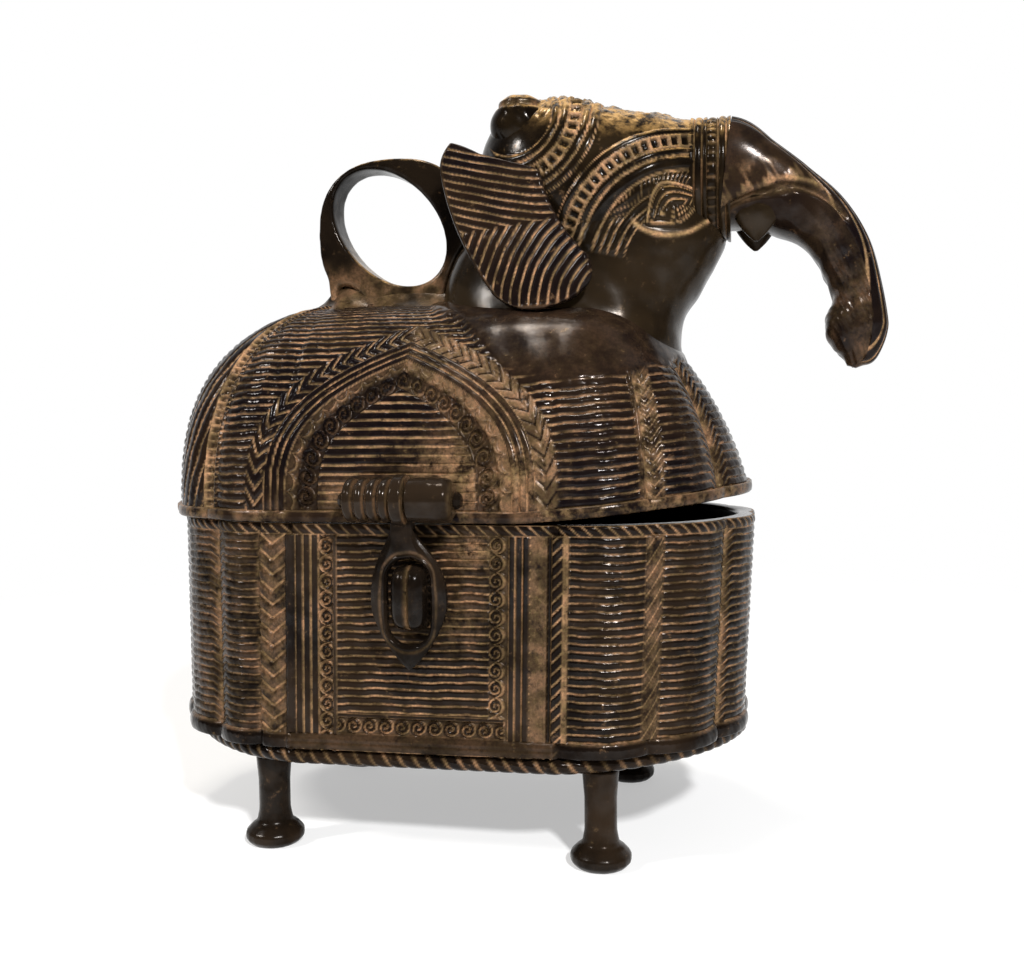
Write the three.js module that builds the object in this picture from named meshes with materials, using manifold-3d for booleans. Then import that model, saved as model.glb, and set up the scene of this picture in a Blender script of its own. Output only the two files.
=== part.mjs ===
// Cast bronze casket with an elephant's head: a lobed tub on four legs, a fluted dome hinged to it
// at the back, a finger ring, an elephant's neck, head and trunk on the dome, and a leaf-shaped hasp
// that hangs from the dome and drops over a lug on the front wall.
// Millimetres. X runs along the box towards the trunk, Y from the front wall to the back, Z is up.
import * as THREE from "three";
import { mergeVertices } from "three/addons/utils/BufferGeometryUtils.js";
import Module from "manifold-3d";

// Plan of the box: straight front and back walls, and two round ends made of upright lobes.
const boxLength = 133;
const boxWidth = 77;
const lobesPerEnd = 6;
const lobeDepth = 2; // from the crest of a lobe down to the groove beside it
const wallThickness = 2.6; // at the grooves
const seatGap = 0.3; // between pieces that rest against each other

// Tub.
const tubHeight = 50.2; // underside to rim
const tubDraft = 1.1; // how far the wall leans in at its foot
const tubShift = 0.5; // the rim sits a little to the right
const tubLean = 1.2; // how far the foot has slipped to the left of the rim
const baseSlant = 1.6; // how much lower the underside lies at the left end than at the right
const floorThickness = 3;
const floorFillet = 3;
const footFlare = 0.8; // roll at the foot of each lobe
const footFlareHeight = 3.2;
const ropeThickness = 3.3; // rope moulding round the foot of the tub
const ropeInset = 0.5; // behind the front wall
const baseCornerInset = 3.3; // the foot is rounder than the lobes above it

// Legs.
const legHeight = 20.2;
const legSpacingX = 71.4;
const legSpacingY = 56.4;
const legShift = -0.3; // along the box, off its middle
const legDiameter = 6.8;
const legTopDiameter = 7.8;
const footDiameter = 12.7;
const footThickness = 4.1;

// Panels on the front and back walls: upright threads either side of a plain field.
const panelMargin = 1; // from the end of the straight wall to the panel's edge
const panelBorder = 10.25; // from the panel's edge to its plain field
const panelThread = 0.75; // radius of a raised thread
const panelFootMargin = 8.7; // from the underside of the tub to the threads' lower ends
const panelRimMargin = 2.2;
const cordDiameter = 3.3; // upright cords between the lobes
const cordSunk = 0.8; // below the crests of the lobes

// Lid.
const domeHeight = 47.3; // rim to crown
const domeFullness = 2.4; // 2 is an ellipse, more is fuller
const domeBackFullness = 2.75; // the same, at the end under the handle
const domeFrontFullness = 1.3; // the same, on the slope under the trunk
const lidShift = -0.9; // the lid sits a little to the left of the tub
const rimBandHeight = 2.4;
const rimBandProud = 0.5;
const rimLift = 4.6; // the rim rises towards the trunk, as the casting came out
const rimLiftStart = 20; // ahead of the middle of the box
const archHalfWidth = 28;
const archHeight = 38;
const archShift = -3.8; // the arches stand a little off the middle
const archThreads = 3;
const archThreadPitch = 3.4;

// Rear hinge.
const hingePinDiameter = 2;
const pinClearance = 0.3; // round a pin, on the radius
const hingeBarrelDiameter = 6.2;
const hingeKnuckleLength = 8.6;
const hingeStandOff = 1.2; // barrel to wall
const hingeRise = 1.2; // pin above the tub's rim
const hingeLeaf = 7.5; // how far a knuckle's bracket reaches along the wall

// Hasp and its barrels.
const haspPinDiameter = 2;
const haspBarrelDiameter = 9;
const haspLeftBarrel = 9.6;
const haspRightBarrel = 9;
const haspEyeWidth = 2.6;
const haspEyeDiameter = 10.2;
const haspPinRise = 4.9; // above the lid's lower edge
const haspShift = -1.2; // the hasp's eye lies a little off the middle
const haspBracket = 5.2;
const haspBarrelRibs = 4;
const haspReach = 33.4; // pin to tip
const haspWidth = 15.4;
const haspNeckWidth = 4.8;
const haspThickness = 2.2;
const haspSlotWidth = 8.9;
const haspSlotHeight = 17.2;
const haspSlotDrop = 19.9; // pin to the middle of the slot
const lugWidth = 6.9;
const lugHeight = 11.2;
const lugProud = 3.8; // beyond the back of the hasp
const lugRise = 0.9; // middle of the lug above the middle of the slot

// Handle: a flat band bent to a ring, with a foot on the crown.
const handleWidth = 8.4;
const handleHole = 31.6; // along the ring's slant
const handleHoleAcross = 21.6;
const handleSlant = -45; // degrees
const handleLength = 36; // over the outside
const handleHeight = 34;
const handleSetback = 21.6; // middle of the hole behind the back of the skull
const stemHollow = 5.4; // the hollow under the ring, beside its stem
const handleBottomRise = 4.1; // lowest point of the hole above the crown

// Elephant. The neck stands on the right half of the dome.
const neckSetback = 3.5; // its middle, behind the end of the straight wall
const neckDepth = 55;
const neckWidth = 36;
const neckRise = 38;
const neckBury = 18; // how far the neck reaches down into the dome's outline
const headLength = 47.7;
const headHeight = 36.4;
const headWidth = 35.8;
const headOverhang = 19; // back of the skull behind the middle of the neck
const headRise = 24.6; // middle of the head above the crown
const bridleLength = 6.6;
const bridleRings = 3;
const bridleRingRelief = 0.7;
const trunkLength = 33.6; // forwards from its root
const trunkHeight = 42.2; // from its root down
const trunkTipThickness = 12;
const trunkTipWidth = 10.4;
const earLength = 37;
const earThickness = 2.4;
const earTurn = 8; // degrees that the ear's rear edge stands out from the neck
const earTilt = 5; // degrees that its lower end stands out
const knobDiameter = 14.4;
const knobSpacing = 16;
const tuskDiameter = 7.4;
const tuskLength = 6.6;
const eyeLength = 11;
const eyeRelief = 1.2;
const faceRadius = 27.6; // outermost of the bands that run in arcs over the cheek
const faceBandPitch = 4.6;
const faceBands = 3;
const napeRadius = 13; // band round the knobs of the skull
const bandDiameter = 1.9;
const bandRelief = 0.6;
const crestBead = 4.4; // the row of lumps along the top of the head

// How finely round forms are divided.
const stepsPerLobe = 4;
const domeSteps = 8;
const roundSides = 18;
const threadSides = 8;
const ropeSides = 8;

// Heights and places that follow from the sizes above.
const endRadius = boxWidth / 2;
const straightHalf = boxLength / 2 - endRadius;
const rimZ = legHeight + tubHeight;
const lidZ = rimZ + seatGap;
const crownZ = lidZ + domeHeight;
const innerReach = endRadius - lobeDepth - wallThickness;
const panelHalf = straightHalf - panelMargin;
const fieldHalf = panelHalf - panelBorder;
const neckCentreX = straightHalf - neckSetback;
const headRearX = neckCentreX - headOverhang;
const handleCentreX = headRearX - handleSetback;
const hingeY = endRadius + hingeStandOff + hingeBarrelDiameter / 2;
const hingeZ = rimZ + hingeRise;
const haspY = -(endRadius + rimBandProud + seatGap + haspBarrelDiameter / 2);
const haspZ = lidZ + haspPinRise;

const wasm = await Module();
wasm.setup();

// Turns a closed geometry into a solid for joining and cutting, with its faces pointing out.
function solidOf(geometry) {
  const bare = geometry.clone();
  bare.deleteAttribute("normal");
  bare.deleteAttribute("uv");
  const merged = mergeVertices(bare, 1e-4);
  const corners = [];
  const index = merged.index.array;
  for (let i = 0; i < index.length; i += 3) {
    const [a, b, c] = [index[i], index[i + 1], index[i + 2]];
    if (a !== b && b !== c && c !== a) corners.push(a, b, c);
  }
  const make = (triVerts) =>
    new wasm.Manifold(
      new wasm.Mesh({
        numProp: 3,
        vertProperties: merged.attributes.position.array,
        triVerts: new Uint32Array(triVerts),
      }),
    );
  const solid = make(corners);
  return solid.volume() > 0 ? solid : make(corners.reverse());
}

function geometryOf(solid) {
  const mesh = solid.getMesh();
  const geometry = new THREE.BufferGeometry();
  geometry.setAttribute("position", new THREE.BufferAttribute(new Float32Array(mesh.vertProperties), 3));
  geometry.setIndex(new THREE.BufferAttribute(new Uint32Array(mesh.triVerts), 1));
  geometry.computeVertexNormals();
  return geometry;
}

const join = (solids) => solids.reduce((whole, solid) => whole.add(solid));

// Cuts a solid with others and keeps its largest piece, without the slivers a cut can leave.
function cutWith(solid, cutters) {
  const pieces = cutters.reduce((rest, cutter) => rest.subtract(cutter), solid).decompose();
  return pieces.reduce((best, piece) => (piece.volume() > best.volume() ? piece : best));
}

// Joins a stack of rings of points into one closed surface. A ring may shrink to a line or a point.
function closeRings(rings) {
  const count = rings[0].length;
  const positions = rings.flatMap((ring) => ring.flatMap((point) => point.toArray()));
  const index = [];
  for (let row = 0; row < rings.length - 1; row++)
    for (let i = 0; i < count; i++) {
      const a = row * count + i;
      const b = row * count + ((i + 1) % count);
      index.push(a, b, b + count, a, b + count, a + count);
    }
  const geometry = new THREE.BufferGeometry();
  geometry.setAttribute("position", new THREE.Float32BufferAttribute(positions, 3));
  geometry.setIndex(index);
  return geometry;
}

// Shrinks a ring to its middle, which closes an end of a stack of rings with a flat face.
function middleOf(ring) {
  const middle = ring.reduce((sum, point) => sum.add(point), new THREE.Vector3()).divideScalar(ring.length);
  return ring.map(() => middle);
}

// Stations round the plan of the box, anticlockwise from the front right corner. Each has a foot on
// the middle line of the box, a direction out of it, and a crest that is 1 on a lobe or a straight
// wall and 0 in a groove.
function planStations() {
  const stations = [];
  const steps = lobesPerEnd * stepsPerLobe;
  for (const side of [1, -1]) {
    for (let i = 0; i <= steps; i++) {
      const angle = side * (-Math.PI / 2) + (side * Math.PI * i) / steps;
      const turn = side > 0 ? angle : Math.PI - angle;
      const crest = Math.abs(Math.sin((Math.PI * i) / stepsPerLobe)) ** 0.8;
      const heading = side > 0 ? turn : Math.PI / 2 + (Math.PI * i) / steps;
      stations.push({ foot: side * straightHalf, out: [Math.cos(heading), Math.sin(heading)], crest });
    }
    for (let i = 0; i <= 4; i++)
      stations.push({ foot: side * straightHalf * (1 - i / 2), out: [0, side], crest: 1 });
  }
  return stations;
}
const plan = planStations();

// A ring of points round the plan; reach and height are functions of a station.
const planRing = (reach, height) =>
  plan.map((s) => {
    const distance = reach(s);
    return new THREE.Vector3(s.foot + s.out[0] * distance, s.out[1] * distance, height(s));
  });

// The foot of the box is drawn in between its front and its tip.
const baseReach = (s) =>
  endRadius - tubDraft - ropeInset - ropeThickness - baseCornerInset * Math.abs(2 * s.out[0] * s.out[1]);
const lobedReach = (crestReach) => (s) => crestReach - lobeDepth * (1 - s.crest);

// The tub leans and its underside slants: heights are given as shares of the wall, from 0 at the
// underside to 1 at the rim, and both faults fade out towards the rim.
const undersideZ = (x) => legHeight + baseSlant * (x / boxLength);
function tubPoint(x, y, up) {
  const share = up / tubHeight;
  const low = undersideZ(x);
  return new THREE.Vector3(x + tubShift - tubLean * (1 - share), y, low + (rimZ - low) * share);
}
const tubRing = (reach, up) => planRing(reach, () => 0).map(({ x, y }) => tubPoint(x, y, up));

const slabHeight = ropeThickness + seatGap;
function tubShell() {
  const flareTop = slabHeight + footFlareHeight;
  const foot = endRadius - tubDraft;
  const inside = innerReach - tubDraft;
  const rings = [
    tubRing(() => 0, 0),
    tubRing(baseReach, 0),
    tubRing(baseReach, slabHeight),
    tubRing(lobedReach(foot + footFlare / 2), slabHeight),
    tubRing(lobedReach(foot + footFlare), slabHeight + footFlareHeight / 2),
    tubRing(lobedReach(foot), flareTop),
    tubRing(lobedReach(endRadius), tubHeight),
    tubRing(() => innerReach, tubHeight),
    tubRing(() => inside, floorThickness + floorFillet),
    tubRing(() => inside - floorFillet, floorThickness),
    tubRing(() => 0, floorThickness),
  ];
  return join([solidOf(closeRings(rings)), ...tubPanelThreads(), ...tubCords()]);
}

// A raised thread: a round section carried along a path.
function thread(points, radius) {
  const section = new THREE.Shape();
  section.absarc(0, 0, radius, 0, 2 * Math.PI);
  const path = new THREE.CatmullRomCurve3(points);
  return solidOf(
    new THREE.ExtrudeGeometry(section, {
      steps: points.length - 1,
      curveSegments: threadSides / 2,
      extrudePath: path,
    }),
  );
}

// Upright cords: beside the panels, in the first grooves of the right end, and in the middle of the
// left end. Angles are measured round an end from its front.
function tubCords() {
  const low = slabHeight + footFlareHeight;
  const high = tubHeight - panelRimMargin;
  const groove = Math.PI / lobesPerEnd;
  const places = [
    [1, 0],
    [1, groove],
    [1, Math.PI - groove],
    [1, Math.PI],
    [-1, Math.PI / 2],
  ];
  return places.map(([side, angle]) => {
    const points = [0, 1, 2, 3].map((i) => {
      const up = low + ((high - low) * i) / 3;
      const crest = endRadius - (tubDraft * (high - up)) / (high - low);
      const reach = crest - cordSunk - cordDiameter / 2;
      return tubPoint(side * (straightHalf + reach * Math.sin(angle)), -reach * Math.cos(angle), up);
    });
    return thread(points, cordDiameter / 2);
  });
}

// Upright threads frame the field on both walls, and one lies along its foot.
function tubPanelThreads() {
  const low = legHeight + panelFootMargin;
  const high = rimZ - panelRimMargin;
  const wallHeight = tubHeight - slabHeight - footFlareHeight;
  const wallY = (z) => endRadius - (tubDraft * (rimZ - z)) / wallHeight;
  const wallX = (z) => tubShift - (tubLean * (rimZ - z)) / tubHeight;
  const edges = [panelHalf - panelThread, fieldHalf + 3 * panelThread, fieldHalf];
  const threads = [];
  for (const face of [-1, 1]) {
    const point = (x, z) => new THREE.Vector3(x + wallX(z), face * wallY(z), z);
    for (const edge of edges)
      for (const x of [edge, -edge]) threads.push(thread([point(x, low), point(x, high)], panelThread));
    threads.push(thread([point(-fieldHalf, low), point(fieldHalf, low)], panelThread));
  }
  return threads;
}

// The rope moulding lies round the slab, under the lobes.
function baseRope() {
  const radius = ropeThickness / 2;
  const rings = [];
  for (let i = 0; i <= ropeSides; i++) {
    const angle = (2 * Math.PI * i) / ropeSides;
    const across = seatGap + radius * (1 + Math.cos(angle));
    rings.push(tubRing((s) => baseReach(s) + across, radius * (1 + Math.sin(angle))));
  }
  return solidOf(closeRings(rings));
}

// Turned leg with a thick round foot.
function leg(x) {
  const top = undersideZ(x - legTopDiameter / 2) - seatGap;
  const foot = footDiameter / 2;
  const shaft = legDiameter / 2;
  const profile = [
    [0, 0],
    [foot * 0.82, 0],
    [foot, footThickness * 0.3],
    [foot, footThickness * 0.65],
    [foot * 0.78, footThickness],
    [shaft * 1.15, footThickness * 1.15],
    [shaft, footThickness * 1.8],
    [shaft, top * 0.7],
    [legTopDiameter / 2, top],
    [0, top],
  ].map(([r, z]) => new THREE.Vector2(r, z));
  return solidOf(new THREE.LatheGeometry(profile, roundSides).rotateX(Math.PI / 2));
}

// How far the lid's edge stands off the tub at a place along the box.
const liftAt = (x) =>
  rimLift * Math.max(0, (x - rimLiftStart) / (boxLength / 2 - rimLiftStart)) ** 1.2;

// One ring of the dome. Rise runs from 0 at the rim to 1 at the crown. Towards the trunk the round
// profile goes over to a straight slope, which runs up into the neck.
function domeRing(rise, { grow = 0, lobed = true }) {
  return plan.map((s) => {
    const endFullness = s.out[0] > 0 ? domeFrontFullness : domeBackFullness;
    const power = domeFullness + (endFullness - domeFullness) * Math.abs(s.out[0]) ** 1.5;
    const widest = endRadius + grow - (lobed ? lobeDepth * (1 - s.crest) : lobeDepth);
    const reach = widest * Math.sqrt(Math.max(0, 1 - rise ** power));
    const lift = liftAt(s.foot + s.out[0] * endRadius);
    const z = lidZ + lift + (domeHeight + grow - lift) * rise;
    return new THREE.Vector3(lidShift + s.foot + s.out[0] * reach, s.out[1] * reach, z);
  });
}
const risesFrom = (first) =>
  Array.from({ length: domeSteps + 1 }, (_, i) => {
    const start = Math.asin(first);
    return Math.sin(start + ((Math.PI / 2 - start) * i) / domeSteps);
  });

// A plain band runs round the lid's lower edge.
function rimRing(reach, up) {
  const height = (s) => lidZ + liftAt(s.foot + s.out[0] * endRadius) + up;
  return planRing(reach, height).map((point) => point.setX(point.x + lidShift));
}

function lidDome() {
  const inside = { grow: -wallThickness, lobed: false };
  const band = (s) => endRadius + rimBandProud - (lobeDepth / 2) * (1 - s.crest);
  const rings = [
    ...risesFrom(0).reverse().map((rise) => domeRing(rise, inside)),
    rimRing(band, 0),
    rimRing(band, rimBandHeight * 0.8),
    ...risesFrom(rimBandHeight / domeHeight).map((rise) => domeRing(rise, {})),
  ];
  return join([solidOf(closeRings(rings)), ...archThreadSolids()]);
}

// The outside of the dome, grown by a clearance: what stands on the dome is cut with it.
function domeCutter(clearance) {
  const rings = risesFrom(0).map((rise) => domeRing(rise, { grow: clearance }));
  const below = rings[0].map((point) => point.clone().setZ(lidZ - 1));
  return solidOf(closeRings([middleOf(below), below, ...rings]));
}

// Arches on the front and back of the dome: each is a thread that runs up the slope to a point.
function archThreadSolids() {
  const solids = [];
  const halves = 9;
  for (const face of [-1, 1])
    for (let n = 0; n < archThreads; n++) {
      const width = archHalfWidth - n * archThreadPitch;
      const height = archHeight - n * archThreadPitch * 1.5;
      const points = [];
      for (let i = -halves; i <= halves; i++) {
        const across = i / halves;
        const up = height * (1 - Math.abs(across)) ** (1 / 1.7) + rimBandHeight;
        const flat = endRadius * Math.sqrt(1 - (up / domeHeight) ** domeFullness);
        const x = archShift + width * across;
        const past = Math.max(0, Math.abs(x - lidShift) - straightHalf);
        points.push(new THREE.Vector3(x, face * Math.sqrt(flat ** 2 - past ** 2), lidZ + up));
      }
      solids.push(thread(points, panelThread));
    }
  return solids;
}

// Turns a drawing made in Y and Z so that its depth runs along X.
const alongX = new THREE.Matrix4().makeBasis(
  new THREE.Vector3(0, 1, 0),
  new THREE.Vector3(0, 0, 1),
  new THREE.Vector3(1, 0, 0),
);

// A knuckle: a bored barrel with a bracket that lies against a wall. The bracket reaches along the
// wall from near to end, above or below the pin.
function knuckle({ y, z, diameter, pin, wallY, near, end, from, to }) {
  const radius = diameter / 2;
  const side = Math.sign(wallY - y);
  const up = Math.sign(end - z);
  const outline = new THREE.Shape();
  outline.moveTo(wallY, end);
  outline.lineTo(y - side * radius * 0.5, z + up * radius * 0.87);
  const start = Math.atan2(up * 0.87, -side * 0.5);
  const finish = Math.atan2(-up * 0.5, side * 0.87);
  outline.absarc(y, z, radius, start, finish, side * up < 0);
  outline.lineTo(wallY, near);
  outline.closePath();
  const bore = new THREE.Path();
  bore.absarc(y, z, pin / 2 + pinClearance, 0, 2 * Math.PI);
  outline.holes.push(bore);
  const geometry = new THREE.ExtrudeGeometry(outline, {
    depth: to - from,
    curveSegments: roundSides / 2,
    bevelEnabled: false,
  });
  return solidOf(geometry.translate(0, 0, from).applyMatrix4(alongX));
}

// A round bar along X, with a bore when inner is given.
function barAlongX({ y, z, from, to, outer, inner = 0 }) {
  const outline = new THREE.Shape();
  outline.absarc(0, 0, outer, 0, 2 * Math.PI);
  if (inner) outline.holes.push(new THREE.Path().absarc(0, 0, inner, 0, 2 * Math.PI));
  const geometry = new THREE.ExtrudeGeometry(outline, {
    depth: to - from,
    curveSegments: roundSides / 2,
    bevelEnabled: false,
  });
  return solidOf(geometry.translate(0, 0, from).applyMatrix4(alongX).translate(0, y, z));
}

// A pin with both ends hammered over, outside the outermost knuckles.
function headedPin({ y, z, from, to, diameter }) {
  const head = diameter * 0.85;
  const out = seatGap + head * 0.7;
  const profile = [
    [0, from - out],
    [head * 0.7, from - out],
    [head, from - out * 0.6],
    [head, from - seatGap],
    [diameter / 2, from - seatGap],
    [diameter / 2, to + seatGap],
    [head, to + seatGap],
    [head, to + out * 0.6],
    [head * 0.7, to + out],
    [0, to + out],
  ].map(([r, x]) => new THREE.Vector2(r, x));
  const lathe = new THREE.LatheGeometry(profile, roundSides / 2);
  return solidOf(lathe.rotateZ(-Math.PI / 2).translate(0, y, z));
}

const hingeFace = endRadius + rimBandProud + seatGap / 2;
const hingeSpan = hingeKnuckleLength * 1.5 + seatGap;
function hingeKnuckle(from, to, near, end) {
  const barrel = { y: hingeY, z: hingeZ, diameter: hingeBarrelDiameter, pin: hingePinDiameter };
  return knuckle({ ...barrel, wallY: hingeFace, near, end, from, to });
}

// Barrels on the front of the lid: the left one ribbed, the right one plain.
const haspEyeFrom = haspShift - haspEyeWidth / 2;
const haspEyeTo = haspShift + haspEyeWidth / 2;
const haspLeftFrom = haspEyeFrom - seatGap - haspLeftBarrel;
const haspRightTo = haspEyeTo + seatGap + haspRightBarrel;
function haspKnuckle(from, to, diameter) {
  const face = -(endRadius + rimBandProud + seatGap / 2);
  const barrel = { y: haspY, z: haspZ, diameter, pin: haspPinDiameter, from, to };
  return knuckle({ ...barrel, wallY: face, near: haspZ, end: haspZ + haspBracket });
}

function ribbedHaspKnuckle() {
  const from = haspLeftFrom;
  const to = haspEyeFrom - seatGap;
  const body = haspKnuckle(from, to, haspBarrelDiameter * 0.88);
  const pitch = haspLeftBarrel / haspBarrelRibs;
  const ribs = Array.from({ length: haspBarrelRibs }, (_, i) =>
    barAlongX({
      y: haspY,
      z: haspZ,
      from: from + pitch * (i + 0.2),
      to: from + pitch * (i + 0.8),
      outer: haspBarrelDiameter / 2,
      inner: haspPinDiameter / 2 + pinClearance,
    }),
  );
  return join([body, ...ribs]);
}

// Turns a drawing made in X and Z so that its depth runs back along Y.
const alongY = new THREE.Matrix4().makeBasis(
  new THREE.Vector3(1, 0, 0),
  new THREE.Vector3(0, 0, 1),
  new THREE.Vector3(0, -1, 0),
);

// The hasp: a pointed leaf with a long slot, hung from an eye between the barrels.
function hasp() {
  const middle = haspZ - haspSlotDrop;
  const tip = haspZ - haspReach;
  const neckTop = haspZ - haspEyeDiameter / 2;
  const [neckLeft, neckRight] = [haspShift - haspNeckWidth / 2, haspShift + haspNeckWidth / 2];
  const half = haspWidth / 2;
  const leaf = new THREE.Shape();
  leaf.moveTo(haspShift - haspEyeWidth / 2, haspZ);
  leaf.lineTo(haspShift - haspEyeWidth / 2, neckTop);
  leaf.lineTo(neckLeft, neckTop - 0.8);
  const shoulder = neckTop - haspNeckWidth * 0.83;
  leaf.bezierCurveTo(neckLeft - 0.5, shoulder, -half, middle + half * 1.1, -half, middle);
  leaf.bezierCurveTo(-half, middle - half * 0.6, -half * 0.35, tip + 2, 0, tip);
  leaf.bezierCurveTo(half * 0.35, tip + 2, half, middle - half * 0.6, half, middle);
  leaf.bezierCurveTo(half, middle + half * 1.1, neckRight + 1, shoulder, neckRight, neckTop - 0.8);
  leaf.lineTo(haspShift + haspEyeWidth / 2, neckTop);
  leaf.lineTo(haspShift + haspEyeWidth / 2, haspZ);
  leaf.closePath();
  const slot = new THREE.Path();
  const slotHalf = haspSlotWidth / 2;
  const slotSide = haspSlotHeight / 2 - slotHalf;
  slot.absarc(0, middle + slotSide, slotHalf, 0, Math.PI);
  slot.absarc(0, middle - slotSide, slotHalf, Math.PI, 2 * Math.PI);
  slot.closePath();
  leaf.holes.push(slot);
  const plate = new THREE.ExtrudeGeometry(leaf, {
    depth: haspThickness,
    curveSegments: 8,
    bevelEnabled: false,
  });
  plate.applyMatrix4(alongY).translate(0, haspY + haspThickness / 2, 0);
  const eye = { y: haspY, z: haspZ, from: haspEyeFrom, to: haspEyeTo };
  const boss = barAlongX({ ...eye, outer: haspEyeDiameter / 2 });
  const [boreFrom, boreTo] = [haspEyeFrom - 1, haspEyeTo + 1];
  const bore = { ...eye, from: boreFrom, to: boreTo, outer: haspPinDiameter / 2 + pinClearance };
  return solidOf(plate).add(boss).subtract(barAlongX(bore));
}

// The lug: a loaf-shaped staple with a groove down its face.
function lug() {
  const z = haspZ - haspSlotDrop + lugRise;
  const w = lugWidth / 2;
  const h = lugHeight / 2;
  const corner = w * 0.8;
  const face = new THREE.Shape();
  face.moveTo(-w + corner, -h);
  face.lineTo(w - corner, -h);
  face.absarc(w - corner, -h + corner, corner, -Math.PI / 2, 0);
  face.absarc(w - corner, h - corner, corner, 0, Math.PI / 2);
  face.absarc(-w + corner, h - corner, corner, Math.PI / 2, Math.PI);
  face.absarc(-w + corner, -h + corner, corner, Math.PI, 1.5 * Math.PI);
  const front = haspY - haspThickness / 2 + haspThickness - lugProud;
  const wall = -(endRadius + seatGap);
  const bevel = 1;
  const block = new THREE.ExtrudeGeometry(face, {
    depth: wall - front - bevel,
    curveSegments: 4,
    bevelThickness: bevel,
    bevelSize: bevel,
    bevelOffset: -bevel,
    bevelSegments: 2,
  });
  block.applyMatrix4(alongY).translate(0, wall, z);
  const behind = new THREE.BoxGeometry(lugWidth * 2, 4 * bevel, lugHeight * 2);
  behind.translate(0, wall + 2 * bevel, z);
  const groove = thread(
    [new THREE.Vector3(0, front - 0.2, z - lugHeight), new THREE.Vector3(0, front - 0.2, z + lugHeight)],
    0.8,
  );
  return solidOf(block).subtract(solidOf(behind)).subtract(groove);
}

// Points round an oval, anticlockwise. A squareness of 2 gives an ellipse.
function oval({ x, z, long, across, slant = 0, squareness = 2 }) {
  const points = [];
  for (let i = 0; i < 2 * roundSides; i++) {
    const turn = (Math.PI * i) / roundSides;
    const bulge = (value) => Math.sign(value) * Math.abs(value) ** (2 / squareness);
    const point = new THREE.Vector2(bulge(Math.cos(turn)) * long, bulge(Math.sin(turn)) * across);
    point.multiplyScalar(0.5).rotateAround(new THREE.Vector2(), slant);
    points.push(point.add(new THREE.Vector2(x, z)));
  }
  return points;
}

// The finger ring: a band with a slanted oval hole, standing on a foot on the crown.
function handleRing(cutters) {
  const slant = THREE.MathUtils.degToRad(handleSlant);
  const halfDrop = Math.hypot(handleHole * Math.sin(slant), handleHoleAcross * Math.cos(slant)) / 2;
  const centreZ = crownZ + handleBottomRise + halfDrop;
  const outside = {
    x: handleCentreX + 0.8,
    z: centreZ - 1.3,
    long: handleLength,
    across: handleHeight,
    squareness: 2.5,
  };
  const hole = { x: handleCentreX, z: centreZ, long: handleHole, across: handleHoleAcross, slant };
  const bevel = 0.6;
  const extrude = (points, depth, edge) => {
    const geometry = new THREE.ExtrudeGeometry(new THREE.Shape(points), {
      depth: depth - 2 * edge,
      curveSegments: 6,
      bevelEnabled: edge > 0,
      bevelThickness: edge,
      bevelSize: edge,
      bevelOffset: -edge,
      bevelSegments: 2,
    });
    return solidOf(geometry.applyMatrix4(alongY).translate(0, depth / 2 - edge, 0));
  };
  // The foot widens downwards; on the left it drops as a stem from the ring.
  const low = crownZ - domeHeight * 0.2;
  const left = outside.x - handleLength / 2;
  const foot = new THREE.Path();
  foot.moveTo(handleCentreX + handleHole / 2, low);
  foot.lineTo(handleCentreX + handleHole / 2, centreZ - handleHoleAcross * 0.15);
  foot.lineTo(left + 0.2, centreZ - handleHoleAcross * 0.15);
  foot.quadraticCurveTo(left + handleWidth * 0.45, crownZ + handleBottomRise, left + 2, low);
  const hollow = {
    x: left + handleWidth * 0.62 + stemHollow / 2,
    z: crownZ + stemHollow * 0.2,
    long: stemHollow * 1.6,
    across: stemHollow,
    slant,
  };
  const through = extrude(oval(hole), handleWidth * 2, 0).add(extrude(oval(hollow), handleWidth * 2, 0));
  const whole = extrude(oval(outside), handleWidth, bevel)
    .add(extrude(foot.getPoints(6), handleWidth, bevel))
    .subtract(through);
  return cutWith(whole, cutters);
}

// Smooth stations between the given ones. Each station is a list of values.
function smoothStations(stations, perSpan) {
  const spline = new THREE.CubicInterpolant(
    stations.map((_, i) => i),
    stations.flat(),
    stations[0].length,
  );
  const count = (stations.length - 1) * perSpan;
  return Array.from({ length: count + 1 }, (_, i) => Array.from(spline.evaluate(i / perSpan)));
}

// Carries a rounded section along a path in the XZ plane. Stations are x, z, half height and half
// width; the section stands across the path, or faces the given direction throughout.
function loft(stations, { perSpan = 2, sides = 20, squareness = 2.3, grow = 0, direction = null }) {
  const smooth = smoothStations(stations, perSpan);
  const rings = smooth.map(([x, z, high, wide], i) => {
    const [x0, z0] = smooth[Math.max(0, i - 1)];
    const [x1, z1] = smooth[Math.min(smooth.length - 1, i + 1)];
    const heading = direction ?? Math.atan2(z1 - z0, x1 - x0);
    const up = new THREE.Vector3(-Math.sin(heading), 0, Math.cos(heading));
    return Array.from({ length: sides }, (_, k) => {
      const turn = (2 * Math.PI * k) / sides;
      const bulge = (value) => Math.sign(value) * Math.abs(value) ** (2 / squareness);
      return new THREE.Vector3(x, 0, z)
        .addScaledVector(up, (high + grow) * bulge(Math.sin(turn)))
        .add(new THREE.Vector3(0, (wide + grow) * bulge(Math.cos(turn)), 0));
    });
  });
  return solidOf(closeRings([middleOf(rings[0]), ...rings, middleOf(rings.at(-1))]));
}

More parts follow.
